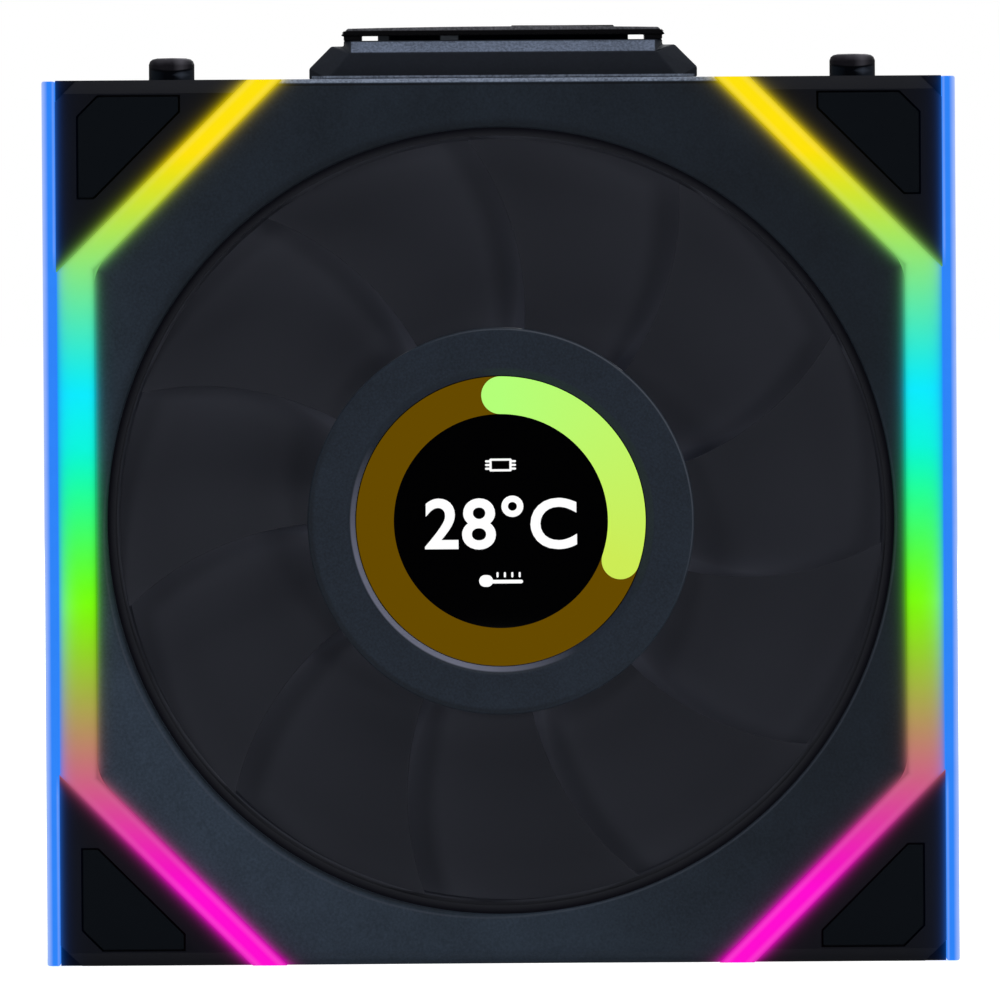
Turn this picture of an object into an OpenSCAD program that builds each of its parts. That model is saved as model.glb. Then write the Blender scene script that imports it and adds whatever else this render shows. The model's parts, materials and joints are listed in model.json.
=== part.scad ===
// Linkable 120 mm case fan with a fixed round display in its hub and light guides round its front.
// The rotor axis is Y. The front faces -Y, the mounting plane is y = 0, and +Z is up.

/* [Frame] */
// Width and height of the moulded frame, without side light guides and link rail
frame_size = 120; // [119.5:0.5:124]
// Depth from the mounting plane to the front of the light guides
frame_d = 28; // [27.5:0.5:31]
// Depth of the rear frame, up to the joint with the front frame
rear_frame_d = 18; // [17:0.5:18.5]
// Thickness of the frame's sides beside the air duct
duct_wall = 7.8; // [7.7:0.1:8.4]
// How much wider the opening in the front cover is than the duct, on the radius
duct_flare = 1.1; // [0.9:0.1:1.6]
// Distance of the case screws from the frame's sides
hole_inset = 7.5; // [7.25:0.25:8]
// Radius of the case screw holes
hole_r = 2.15; // [1.8:0.05:2.4]
// Height of the sloped edge along the top and bottom of the corners
edge_bevel = 1.8; // [1:0.1:2.2]
// Cut across the frame's four front corners
corner_bevel = 2.9; // [1.2:0.1:3.2]

/* [Front cover] */
// Thickness of the cover at its rim
cover_t = 2.2; // [1.8:0.1:2.4]
// How far the light guides stand in front of the cover
guide_proud = 0.4; // [0.2:0.1:0.8]
// Depth that the cover's face falls towards its opening
dish_depth = 0.8; // [0.4:0.1:1]
// Radius of the cover's four screw posts
post_r = 1.9; // [1.7:0.1:2.1]
// Radius of the cover screws
cover_screw_r = 1; // [0.8:0.05:1.1]

/* [Light guides] */
// Width of the upright part of a front guide
guide_side_w = 5; // [4.4:0.1:5.2]
// Width of the diagonal parts of a front guide
guide_diag_w = 3.3; // [3:0.1:3.8]
// Leg of the corner that a diagonal cuts off
corner_leg = 26; // [24:0.1:26.6]
// Thickness of a front guide
guide_t = 5; // [4.4:0.1:5.2]
// Radius of the bend on a front guide's inner edge
bend_r = 6; // [3:0.5:9]
// Thickness of a side guide
side_guide_t = 1.8; // [1.2:0.1:2.4]
// Distance of a side guide from the mounting plane
side_guide_back = 3.5; // [3:0.1:3.8]
// Thickness of the LED boards
led_board_t = 0.8; // [0.6:0.1:1]
// Height of an LED
led_t = 0.7; // [0.5:0.05:0.8]
// Number of LEDs along the upright part of a board
side_led_count = 8; // [4:1:10]

/* [Corner pads] */
// Distance of a pad from the frame's left or right side
pad_side_margin = 3.1; // [2.9:0.1:3.3]
// Distance of a pad from the frame's top or bottom
pad_top_margin = 2.25; // [2.2:0.05:2.6]
// Length of a pad's two legs
pad_leg = 13.6; // [13:0.1:14.5]
// Width of the groove round a front pad
pad_groove = 0.25; // [0.2:0.05:0.4]
// Thickness of a front pad
front_pad_t = 2; // [1.4:0.1:2.4]
// Thickness of a rear pad
rear_pad_t = 1.7; // [1.2:0.1:2.2]
// How far the rear pads stand behind the frame
rear_pad_proud = 0.3; // [0.2:0.1:0.5]

/* [Link rail] */
// Place of the link along X
link_x = 0.7; // [-1:0.1:1]
// Width of the link body
link_w = 52.6; // [50:0.2:56]
// Depth of the link body along the frame
link_d = 18; // [17:0.5:18.5]
// Distance of the link body from the mounting plane
link_back = 6; // [5.8:0.1:6.4]
// Height of the link body's upright sides
link_side_h = 1.4; // [1:0.1:1.8]
// Height of the link body's shoulders
link_shoulder_h = 4.4; // [3.8:0.05:4.5]
// Height of the link body under the plate
link_body_h = 5.15; // [4.9:0.05:5.3]
// Height of the slit under the link plate
link_slit_h = 0.65; // [0.5:0.05:0.95]
// Width of the link plate
plate_w = 43.8; // [41:0.2:44.4]
// Thickness of the link plate
plate_t = 1; // [0.9:0.05:1.2]
// How much the link plate's top rises towards its middle
plate_arch_h = 0.2; // [0:0.05:0.3]
// Width of the posts under the plate's ends
plate_post_w = 2.4; // [2:0.1:3.2]
// Height of the rib on the plate's front edge
plate_rib_h = 0.1; // [0.05:0.05:0.2]
// Width of the rib on the plate's front edge
plate_rib_w = 13.8; // [10:0.2:20]
// Number of spring contacts
pin_count = 5; // [5:1:5]
// Spacing of the spring contacts
pin_pitch = 5; // [4:0.25:5.5]
// Travel of a spring contact
pin_travel = 0.7; // [0.4:0.05:0.9]
// Radius of a spring contact's tip
pin_tip_r = 0.5; // [0.35:0.05:0.55]
// Distance of the left locating peg from the frame's side
peg_left_inset = 15.6; // [14:0.2:16]
// Distance of the right locating peg from the frame's side
peg_right_inset = 11.8; // [11.6:0.2:14]
// Radius of a locating peg
peg_r = 3.1; // [2.5:0.1:3.2]
// Height of a locating peg
peg_h = 3; // [2.4:0.1:3.2]

/* [Impeller] */
// Number of blades
blade_count = 11; // [9:1:13]
// Gap between the blade tips and the duct
tip_gap = 0.5; // [0.4:0.1:1.2]
// Radius of the hub
hub_r = 25.2; // [24.6:0.1:25.6]
// Thickness of a blade at its middle
blade_t = 1.9; // [1.4:0.1:2.4]
// Overlap of neighbouring blades, in degrees
blade_overlap = 1.5; // [0:0.5:4]
// Forward sweep of the blade tips, in degrees
blade_sweep = 12; // [0:1:20]

/* [Motor] */
// Radius of the motor base
base_r = 24; // [23:0.1:24.5]
// Number of rear struts
strut_count = 5; // [5:1:5]
// Width of a strut at the frame
strut_w = 4.6; // [4.2:0.1:6]
// Radius of the fixed axle
axle_r = 4; // [3.9:0.05:4.1]
// Radius of the axle's cable bore
axle_bore_r = 2.6; // [2.2:0.1:2.8]
// Running clearance between axle and sleeve
running_gap = 0.05; // [0.02:0.01:0.08]
// Radius of the bearing sleeve
sleeve_r = 6; // [5.8:0.05:6.1]
// Radius of the stator's pole faces
stator_r = 17.7; // [17:0.1:17.8]
// Number of stator poles
pole_count = 6; // [6:1:6]
// Thickness of the magnet ring
magnet_t = 2; // [1.6:0.1:2.1]
// Thickness of the steel rotor cup
yoke_t = 0.8; // [0.6:0.05:1]

/* [Display] */
// Outer radius of the bezel
bezel_r = 26.2; // [25.8:0.1:26.6]
// Radius of the visible screen
screen_r = 19.7; // [19.2:0.1:20]
// Width of the sloped lip round the screen
lip_w = 1.1; // [0.8:0.1:1.2]
// Depth of the whole display unit
display_d = 4.8; // [4.8:0.1:5.2]
// Radius of the axle's threaded end
axle_end_r = 3.4; // [3:0.1:3.5]

/* [Hidden] */
$fn = 96;

// General fits
slack = 0.1;    // gap between two parts that drop together
seat_gap = 0.03; // gap at a press seat between round parts
cut = 1;        // how far a cutting shape runs past the face that it opens

// Planes along Y
front_y = -frame_d;
face_y = front_y + guide_proud;
cover_back_y = face_y + cover_t;
split_y = -rear_frame_d;
rear_y = -rear_pad_proud;
half_w = frame_size / 2;
half_h = frame_size / 2;

// Duct, from its opening in the cover to the lip behind the blade tips
duct_r = half_w - duct_wall;
opening_r = duct_r + duct_flare;
blade_tip_r = duct_r - tip_gap;
duct_lip_r = blade_tip_r - 0.4;
duct_lip_slope = 0.9;
duct_taper_y = cover_back_y + 0.8 * duct_flare;

// Front guides: outer and inner edges, and where the diagonals run
guide_outer_x = half_w - slack;
guide_inner_x = guide_outer_x - guide_side_w;
diag_outer_sum = half_w + half_h - corner_leg;
diag_inner_sum = diag_outer_sum - guide_diag_w * sqrt(2);
guide_back_y = front_y + guide_t;
led_gap = 0.3;
led_front_y = guide_back_y + led_gap;
led_back_y = led_front_y + led_t;
channel_floor_y = led_back_y + led_board_t;
board_inset = 0.3;
led_w = 2.4;
diag_led_count = 4;
diag_centre_sum = (diag_outer_sum + diag_inner_sum) / 2;
guide_centre_x = (guide_outer_x + guide_inner_x) / 2;
bend_z = diag_centre_sum - guide_centre_x;

// Side lighting
side_groove_d = led_board_t + led_t + led_gap;
side_groove_front_y = -14;
side_groove_back_y = -7;
side_board_end = half_h - 5;
side_tongue_y = -5.6;
side_tongue_t = 1.2;
side_tongue_d = 1.6;
side_tongue_l = 8;
side_tongue_inset = 22;
side_tongue_z = half_h - side_tongue_inset;

// Depth of the cut across the front corners
corner_bevel_d = edge_bevel + 0.8;

// Cover and its screws
cover_top_bevel = 0.3;
post_end_y = channel_floor_y + 0.6;
post_ring_r = (opening_r + diag_inner_sum / sqrt(2)) / 2;
post_xz = post_ring_r / sqrt(2);
screw_head_r = 1.9;
screw_head_t = 1.2;
screw_seat_y = -6;
screw_tip_gap = 0.5;

// Pads
pad_cut = 2.7;
pad_end = 2;
hole_x = half_w - hole_inset;

// Link rail and its pocket
link_front_y = -link_back - link_d;
link_h = link_body_h + link_slit_h + plate_t;
link_top_z = half_h + link_h;
plate_z = half_h + link_body_h + link_slit_h;
link_ramp = link_body_h - 3.5;
link_face_inset = 2.6;
plate_bevel = 0.85;
plate_post_inset = 0.3;
plate_post_x = plate_w / 2 - plate_post_inset;
plate_rib_x = 8.1;
plate_rib_d = 4;
plate_arch_steps = 8;
plate_crown_z = link_top_z + plate_arch_h;
pocket_gap = 0.15;
pocket_top_z = -half_h + link_h + plate_arch_h + plate_rib_h + pocket_gap;
tab_x = 23;
tab_w = 2.4;
tab_l = 5;
tab_h = 3;

// Spring contacts
contact_y = -14;
block_end = 7;
block_w = (pin_count - 1) * pin_pitch + 2 * block_end;
block_d = 6;
block_top_z = link_top_z - 0.85;
contact_board_t = 0.8;
contact_board_z = half_h + 0.05;
board_end_margin = 1.5;
board_side_margin = 1;
contact_board_w = block_w + 2 * board_end_margin;
contact_board_d = block_d + 2 * board_side_margin;
socket_pad_half_w = 1.2;
socket_pad_half_d = 2;
window_gap = 0.4;
pin_r = 0.68;
pin_clear = 0.04;
barrel_wall = 0.2;
barrel_r = pin_r + pin_clear + barrel_wall;
barrel_floor = 0.3;
barrel_base_z = contact_board_z + contact_board_t;
barrel_top_z = block_top_z - 0.1;
pin_top_z = link_top_z - 0.05;
pin_shoulder_z = barrel_top_z - 0.35;
pin_foot_z = barrel_base_z + barrel_floor + pin_travel + 0.5;
barrel_lip_r = pin_tip_r + pin_clear;
socket_board_t = 0.7;
socket_pad_t = 0.1;

// Pegs and their sockets
peg_left_x = peg_left_inset - half_w;
peg_right_x = half_w - peg_right_inset;
peg_y = -14;
peg_plug_r = peg_r - 0.9;
peg_plug_h = 4;
peg_edge = 0.9;
socket_side = 2 * peg_r + 0.6;
socket_depth = peg_h + 0.4;

// Display planes, from the front
lens_front_y = front_y + lip_w + 0.02;
lens_t = 0.5;
panel_front_y = lens_front_y + lens_t + 0.05;
panel_t = 0.8;
display_board_front_y = panel_front_y + panel_t + 0.05;
display_board_t = 0.5;
carrier_back_y = front_y + display_d;
carrier_floor = 1;
carrier_floor_y = carrier_back_y - carrier_floor;
bezel_wall = 0.6;
carrier_r = bezel_r - bezel_wall - 0.05;
carrier_wall = 1.2;
display_board_r = carrier_r - carrier_wall - 0.3;
display_screw_ring = display_board_r - 1.3;
panel_r = display_screw_ring - 1.5;
lens_r = panel_r + 0.3;
display_screw_r = 0.6;
display_screw_head_r = 1;
display_post_r = 1.3;
nut_y = display_board_front_y + display_board_t + 0.05;
nut_wall = 3;

// Rotor planes
rotor_gap = 0.6;
hub_front_y = carrier_back_y + rotor_gap;
hub_back_y = -7.2;
hub_plate_t = 1.7;
hub_plate_y = hub_front_y + hub_plate_t;
yoke_front_y = hub_plate_y + 3.6;
yoke_back_y = hub_back_y - 0.6;
magnet_r = stator_r + 0.6 + magnet_t;
yoke_r = magnet_r + seat_gap + yoke_t;
hub_inner_r = yoke_r + 0.05;
hub_boss_r = sleeve_r + 3;
hub_core_r = yoke_r - 1.6;
blade_root_in = 1;
blade_back_y = -8.8;
blade_tip_draw = 2.5;
duct_lip_y = blade_back_y + 0.4;
blade_reach = 1.2;
blade_edge_t = 0.6;
blade_camber = 0.1;
stations = 7;
chord_steps = 8;

// Bearing stack
washer_t = 0.5;
axial_play = 0.05;
base_front_y = -5;
base_boss_y = base_front_y - 1;
base_boss_r = sleeve_r + 0.3;
flange_t = 0.6;
flange_r = sleeve_r - 0.35;
flange_y = base_boss_y - flange_t;
rear_washer_y = flange_y - axial_play - washer_t;
sleeve_back_y = rear_washer_y - axial_play;
sleeve_front_y = yoke_front_y - 2.1;
front_washer_y = sleeve_front_y - axial_play - washer_t;
clip_t = 0.5;
clip_y = front_washer_y - axial_play - clip_t;
clip_seat_r = axle_r - 0.4;
clip_r = sleeve_r - 0.6;
axle_back_y = -2.6;

// Motor base, stator and board
base_back_y = -0.8;
motor_cover_t = 1;
motor_cover_r = base_r - 2.5;
cover_seat_y = base_back_y - motor_cover_t;
flex_groove_y = axle_back_y;
strut_front_y = -4.6;
strut_root_w = strut_w + 1.8;
strut_root_z = 2 - base_r;
tube_bore_r = sleeve_r + 0.55;
tube_r = tube_bore_r + 1.35;
coil_room = 2.95;
core_t = base_boss_y - yoke_front_y - yoke_t - 2 * coil_room;
core_mid_y = (yoke_front_y + yoke_t + base_boss_y) / 2 - 0.35;
tooth_w = 3.4;
tooth_root_r = tube_r + 2;
shoe_t = 1.4;
shoe_w = 13;
bobbin_wall = 0.4;
bobbin_gap = 0.05;
coil_t = 1.4;
motor_board_t = 1;
motor_board_r = base_r - 4;
chip_t = 0.9;

// Cables
flex_w = 3.8;
flex_t = 0.3;
flex_drop = 11;
ribbon_w = 2.8;
ribbon_t = 0.6;
ribbon_y = -4.5;
ribbon_start_z = -(motor_board_r - 1.2);
bus_r = duct_r + 1;
bus_t = 0.3;
bus_w = 4.6;
bus_groove_t = 0.7;
bus_front_y = split_y + 0.2;
bus_end_x = 9.5;

// ---------------------------------------------------------------- helpers

// Extrudes a shape drawn in the XZ plane from y = front to y = back
module slab(front, back) {
    translate([0, back, 0]) rotate([90, 0, 0]) linear_extrude(back - front) children();
}

// A disc about the rotor axis
module disc(r, front, back) {
    translate([0, back, 0]) rotate([90, 0, 0]) cylinder(r = r, h = back - front);
}

// A ring about the rotor axis
module ring(r_out, r_in, front, back) {
    difference() {
        disc(r_out, front, back);
        disc(r_in, front - cut, back + cut);
    }
}

// A solid turned about the rotor axis, from points [radius, y]
module turned(profile) {
    rotate([90, 0, 0]) rotate_extrude() polygon([for (p = profile) [p[0], -p[1]]]);
}

// A box from its two corners
module block(low, high) {
    translate(low) cube(high - low);
}

// Copies a shape of the right side to the side asked for: 1 is right, -1 is left
module on_side(side) {
    if (side > 0) children();
    else mirror([1, 0, 0]) children();
}

// Copies a shape of the top right corner to the corner asked for
module at_corner(side, level) {
    scale_x = side > 0 ? 0 : 1;
    scale_z = level > 0 ? 0 : 1;
    mirror([scale_x, 0, 0]) mirror([0, 0, scale_z]) children();
}

// ---------------------------------------------------------------- outlines

// Points of a rounded bend between an upright edge and a diagonal, for z > 0
function bend_points(x, sum, r, steps = 5) =
    let (cx = x - r, cz = sum - x - r * tan(22.5))
    [for (i = [0:steps]) let (a = 45 * i / steps) [cx + r * cos(a), cz + r * sin(a)]];

// Outline of a right-hand front guide, grown by an amount, with its ends at z = +-end and its
// upright part widened outwards by reach
function guide_outline(grow, end, reach = 0) =
    let (
        xo = guide_outer_x + grow + reach,
        xi = guide_inner_x - grow,
        so = diag_outer_sum + grow * sqrt(2),
        si = diag_inner_sum - grow * sqrt(2),
        inner = bend_points(xi, si, bend_r)
    )
    concat(
        [[so - end, end], [xo, so - xo], [xo, xo - so], [so - end, -end], [si - end, -end]],
        [for (p = [for (i = [len(inner) - 1:-1:0]) inner[i]]) [p[0], -p[1]]],
        inner,
        [[si - end, end]]
    );

// Octagon of the front cover, with its inner bends following the guides
function cover_outline(gap, top) =
    let (
        x = guide_inner_x - gap,
        sum = diag_inner_sum - gap * sqrt(2),
        bend = bend_points(x, sum, bend_r),
        right_top = bend,
        n = len(bend) - 1
    )
    concat(
        [[sum - top, top]],
        [for (i = [n:-1:0]) right_top[i]],
        [for (i = [0:n]) [right_top[i][0], -right_top[i][1]]],
        [[sum - top, -top], [-(sum - top), -top]],
        [for (i = [n:-1:0]) [-right_top[i][0], -right_top[i][1]]],
        [for (i = [0:n]) [-right_top[i][0], right_top[i][1]]],
        [[-(sum - top), top]]
    );

// Outline of a pad in the top right corner, grown by an amount
function pad_outline(grow) =
    let (
        x = pad_side_margin - grow,
        z = pad_top_margin - grow,
        leg = pad_leg + 2 * grow,
        c = pad_cut + 0.586 * grow,
        e = pad_end + 1.414 * grow
    )
    [for (p = [[x, z + c], [x + c, z], [x + leg, z], [x + leg, z + e], [x + e, z + leg], [x, z + leg]])
        [half_w - p[0], half_h - p[1]]];

// Outline of the link body above the frame, grown by an amount
function link_outline(grow) =
    let (w = link_w / 2 + grow, s = link_shoulder_h - link_side_h)
    [[w, -cut], [w, link_side_h], [w - s, link_shoulder_h + grow],
     [s - w, link_shoulder_h + grow], [-w, link_side_h], [-w, -cut]];

// ---------------------------------------------------------------- frames

// Screw holes through a frame at the four corners
module case_holes(front, back) {
    for (x = [-1, 1], z = [-1, 1])
        translate([x * hole_x, 0, z * hole_x]) disc(hole_r, front, back);
}

// Box outline of the frame with sloped top, bottom and corner edges at the front
module front_block() {
    difference() {
        block([-half_w, face_y, -half_h], [half_w, split_y, half_h]);
        for (level = [-1, 1])
            translate([0, face_y, level * half_h]) rotate([45, 0, 0])
                cube([frame_size + cut, edge_bevel * sqrt(2), edge_bevel * sqrt(2)], center = true);
        for (side = [-1, 1], level = [-1, 1])
            translate([side * half_w, face_y, level * half_h]) rotate([0, 45, 0])
                cube([corner_bevel * sqrt(2), 2 * corner_bevel_d, corner_bevel * sqrt(2)], center = true);
    }
}

// Room that the link rail of the fan below enters, with the seat of the socket board
module link_pocket() {
    front = link_front_y - pocket_gap;
    back = -link_back + pocket_gap;
    translate([link_x, 0, 0]) {
        slab(front, back) translate([0, -half_h]) polygon(link_outline(pocket_gap));
        block([-plate_w / 2 - pocket_gap, front, -half_h - cut],
              [plate_w / 2 + pocket_gap, back, pocket_top_z]);
    }
}

module peg_sockets() {
    for (x = [peg_left_x, peg_right_x])
        translate([x, peg_y, -half_h])
            cube([socket_side, socket_side, 2 * socket_depth], center = true);
}

module front_frame() {
    color("#12151a") difference() {
        front_block();
        turned([[0, front_y - cut], [opening_r, front_y - cut], [opening_r, cover_back_y],
                [duct_r, duct_taper_y], [duct_r, split_y + cut], [0, split_y + cut]]);
        slab(front_y - cut, cover_back_y) polygon(cover_outline(-slack, half_h + cut));
        for (side = [-1, 1]) on_side(side)
            slab(front_y - cut, channel_floor_y) polygon(guide_outline(slack / 2, half_h + cut, cut));
        for (side = [-1, 1], level = [-1, 1]) at_corner(side, level)
            slab(front_y - cut, face_y + front_pad_t) polygon(pad_outline(pad_groove));
        case_holes(front_y, split_y + cut);
        for (side = [-1, 1], level = [-1, 1]) translate([side * post_xz, 0, level * post_xz]) {
            disc(post_r + slack, front_y, post_end_y);
            disc(cover_screw_r + slack, front_y, split_y + cut);
        }
        link_pocket();
    }
}

// Struts between the duct and the motor base
module struts() {
    for (i = [0:strut_count - 1]) rotate([0, -360 / strut_count * i, 0])
        slab(strut_front_y, rear_y) polygon([
            [-strut_root_w / 2, strut_root_z], [strut_root_w / 2, strut_root_z],
            [strut_w / 2, -duct_r - 1], [-strut_w / 2, -duct_r - 1]
        ]);
}

// Recesses and slots of the rear frame's outer walls
module side_recesses() {
    block([half_w - side_groove_d, side_groove_front_y, -side_board_end - slack],
          [half_w + cut, side_groove_back_y, side_board_end + slack]);
    for (z = [-side_tongue_z, 0, side_tongue_z])
        block([half_w - side_tongue_d - slack, side_tongue_y - slack, z - side_tongue_l / 2 - slack],
              [half_w + cut, side_tongue_y + side_tongue_t + slack, z + side_tongue_l / 2 + slack]);
}

module rear_frame() {
    color("#15181d") difference() {
        union() {
            difference() {
                block([-half_w, split_y, -half_h], [half_w, rear_y, half_h]);
                turned([[0, split_y - cut], [duct_r, split_y - cut], [duct_r, duct_lip_y],
                        [duct_lip_r, duct_lip_y + duct_lip_slope], [duct_lip_r, cut], [0, cut]]);
                link_pocket();
                peg_sockets();
            }
            struts();
            disc(base_r, base_front_y, base_back_y);
            disc(base_boss_r, base_boss_y, base_front_y + cut);
        }
        disc(motor_cover_r + slack, cover_seat_y, cut);
        disc(axle_r + seat_gap, base_boss_y - cut, cut);
        block([-flex_w / 2 - 0.5, flex_groove_y, -flex_drop - 1.2], [flex_w / 2 + 0.5, cut, 1]);
        block([-flex_w / 2 - 0.3, base_front_y - cut, -flex_drop - flex_t - 0.3],
              [flex_w / 2 + 0.3, cut, -flex_drop + 0.3]);
        ribbon_grooves();
        bus_groove();
        for (side = [-1, 1]) on_side(side) side_recesses();
        for (side = [-1, 1], level = [-1, 1]) at_corner(side, level)
            slab(-rear_pad_t, cut) polygon(pad_outline(slack));
        case_holes(split_y - cut, cut);
        for (side = [-1, 1], level = [-1, 1]) translate([side * post_xz, 0, level * post_xz]) {
            disc(cover_screw_r + slack, split_y - cut, cut);
            disc(screw_head_r + slack, screw_seat_y, cut);
        }
        for (x = [peg_left_x, peg_right_x])
            translate([x, peg_y, half_h - peg_plug_h - slack])
                cylinder(r = peg_plug_r + seat_gap, h = peg_plug_h + cut);
        for (x = [link_x - tab_x, link_x + tab_x])
            block([x - tab_w / 2 - slack, contact_y - tab_l / 2 - slack, half_h - tab_h - slack],
                  [x + tab_w / 2 + slack, contact_y + tab_l / 2 + slack, half_h + cut]);
    }
}

// ---------------------------------------------------------------- front cover

module front_cover() {
    rim_r = sqrt(pow(guide_inner_x, 2) + pow(diag_inner_sum - guide_inner_x, 2));
    color("#1f242b") difference() {
        union() {
            intersection() {
                slab(front_y - cut, cover_back_y) polygon(cover_outline(slack / 2, half_h));
                turned([[0, face_y + dish_depth], [opening_r, face_y + dish_depth], [rim_r, face_y],
                        [frame_size, face_y], [frame_size, cover_back_y], [0, cover_back_y]]);
            }
            for (side = [-1, 1], level = [-1, 1])
                translate([side * post_xz, 0, level * post_xz])
                    disc(post_r, cover_back_y - cut / 2, post_end_y - slack);
        }
        disc(opening_r, front_y - cut, 0);
        for (side = [-1, 1], level = [-1, 1])
            translate([side * post_xz, 0, level * post_xz])
                disc(cover_screw_r + seat_gap, cover_back_y, 0);
        translate([0, face_y, -half_h]) rotate([45, 0, 0])
            cube([frame_size, edge_bevel * sqrt(2), edge_bevel * sqrt(2)], center = true);
        translate([0, face_y, half_h]) rotate([45, 0, 0])
            cube([frame_size, cover_top_bevel * 2, cover_top_bevel * 2], center = true);
    }
}

module cover_screws() {
    color("#3a3d42") for (side = [-1, 1], level = [-1, 1])
        translate([side * post_xz, 0, level * post_xz]) difference() {
            union() {
                disc(cover_screw_r, cover_back_y + screw_tip_gap, screw_seat_y + screw_head_t / 2);
                disc(screw_head_r, screw_seat_y, screw_seat_y + screw_head_t);
            }
            for (turn = [0, 90]) rotate([0, turn, 0])
                block([-1.2, screw_seat_y + screw_head_t - 0.6, -0.25], [1.2, cut, 0.25]);
        }
}

// ---------------------------------------------------------------- lighting

module front_light_guide(side) {
    color("#8fe6ff") on_side(side) slab(front_y, guide_back_y) polygon(guide_outline(0, half_h));
}

module side_light_guide(side) {
    color("#2f86fc") on_side(side) union() {
        block([half_w, face_y - guide_proud / 2, -half_h + slack],
              [half_w + side_guide_t, -side_guide_back, half_h - slack]);
        for (z = [-side_tongue_z, 0, side_tongue_z])
            block([half_w - side_tongue_d, side_tongue_y, z - side_tongue_l / 2],
                  [half_w + side_guide_t / 2, side_tongue_y + side_tongue_t, z + side_tongue_l / 2]);
    }
}

module front_led_board(side) {
    color("#f2f4f6") on_side(side)
        slab(led_back_y, channel_floor_y) polygon(guide_outline(-board_inset, half_h - 1));
}

// LEDs along a front board: the upright part first, then both diagonals
module front_leds(side) {
    run = 2 * bend_z - 2 * led_w;
    leg = corner_leg - guide_diag_w / 2;
    color("#f7e9b0") on_side(side) {
        for (i = [0:side_led_count - 1])
            translate([guide_centre_x, led_back_y - led_t / 2, -run / 2 + run * i / (side_led_count - 1)])
                cube([led_w, led_t, led_w], center = true);
        for (level = [-1, 1], i = [0:diag_led_count - 1]) {
            step = leg * (i + 0.7) / (diag_led_count + 0.4);
            translate([guide_centre_x - step, led_back_y - led_t / 2, level * (bend_z + step)])
                rotate([0, 45, 0]) cube([led_w, led_t, led_w], center = true);
        }
    }
}

module side_led_board(side) {
    floor_x = half_w - side_groove_d;
    color("#f2f4f6") on_side(side)
        block([floor_x, side_groove_front_y + slack, -side_board_end],
              [floor_x + led_board_t, side_groove_back_y - slack, side_board_end]);
}

module side_leds(side) {
    x = half_w - side_groove_d + led_board_t;
    y = (side_groove_front_y + side_groove_back_y) / 2;
    run = 2 * side_board_end - 8;
    count = side_led_count + 4;
    color("#f7e9b0") on_side(side) for (i = [0:count - 1])
        translate([x + led_t / 2, y, -run / 2 + run * i / (count - 1)])
            cube([led_t, led_w, led_w], center = true);
}

// ---------------------------------------------------------------- pads

module front_pad(side, level) {
    color("#0c0e11") at_corner(side, level) slab(face_y, face_y + front_pad_t) polygon(pad_outline(0));
}

module rear_pads() {
    color("#1b1c1f") difference() {
        for (side = [-1, 1], level = [-1, 1]) at_corner(side, level)
            slab(-rear_pad_t, 0) polygon(pad_outline(0));
        case_holes(-rear_pad_t - cut, cut);
    }
}

// ---------------------------------------------------------------- link rail

// Body of the link: full outline at the back, drawn in towards its front face
module link_body() {
    low = link_body_h - link_ramp;
    w = link_w / 2;
    s = link_shoulder_h - link_side_h;
    color("#1d2127") translate([link_x, 0, 0]) difference() {
        union() {
            hull() {
                slab(link_front_y + link_face_inset, -link_back) translate([0, half_h])
                    polygon([[w, 0], [w, link_side_h], [w - s, link_shoulder_h],
                             [s - w, link_shoulder_h], [-w, link_side_h], [-w, 0]]);
                slab(link_front_y, link_front_y + 0.1) translate([0, half_h])
                    polygon([[w - link_face_inset, 0], [w - link_face_inset - s, low],
                             [link_face_inset + s - w, low], [link_face_inset - w, 0]]);
            }
            hull() {
                block([-plate_post_x, link_front_y + link_ramp + 1, half_h],
                      [plate_post_x, -link_back, half_h + link_body_h]);
                block([1 - plate_post_x, link_front_y + link_ramp, half_h],
                      [plate_post_x - 1, -link_back, half_h + link_body_h]);
                block([1 - plate_post_x, link_front_y, half_h],
                      [plate_post_x - 1, -link_back, half_h + low]);
            }
            for (x = [-tab_x, tab_x])
                block([x - tab_w / 2, contact_y - tab_l / 2, half_h - tab_h],
                      [x + tab_w / 2, contact_y + tab_l / 2, half_h + 1]);
        }
        block([-contact_board_w / 2 - slack, contact_y - contact_board_d / 2 - slack, half_h - cut],
              [contact_board_w / 2 + slack, contact_y + contact_board_d / 2 + slack,
               contact_board_z + contact_board_t + slack]);
        block([-block_w / 2 - slack, contact_y - block_d / 2 - slack, half_h - cut],
              [block_w / 2 + slack, contact_y + block_d / 2 + slack, half_h + link_h]);
    }
}

module link_plate() {
    w = plate_w / 2;
    front = link_front_y + link_ramp;
    window_x = block_w / 2 + window_gap;
    window_y = block_d / 2 + window_gap;
    color("#0b0c0f") translate([link_x, 0, 0]) difference() {
        union() {
            slab(front, -link_back) polygon(concat(
                [[-w, link_top_z - plate_bevel], [-w, plate_z], [w, plate_z], [w, link_top_z - plate_bevel]],
                [for (i = [plate_arch_steps:-1:-plate_arch_steps]) let (u = i / plate_arch_steps)
                    [u * (w - plate_bevel), link_top_z + plate_arch_h * (1 - u * u)]]
            ));
            for (side = [-1, 1]) on_side(side)
                block([plate_post_x - plate_post_w, front + 0.2, half_h + link_body_h],
                      [plate_post_x, -link_back, plate_z + plate_t / 2]);
            block([plate_rib_x - plate_rib_w / 2, front + 0.3, plate_z + plate_t / 2],
                  [plate_rib_x + plate_rib_w / 2, front + plate_rib_d, plate_crown_z + plate_rib_h]);
        }
        block([-window_x, contact_y - window_y, half_h],
              [window_x, contact_y + window_y, plate_crown_z + cut]);
    }
}

module contact_board() {
    color("#1c4f38") block(
        [link_x - contact_board_w / 2, contact_y - contact_board_d / 2, contact_board_z],
        [link_x + contact_board_w / 2, contact_y + contact_board_d / 2, contact_board_z + contact_board_t]);
}

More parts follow.
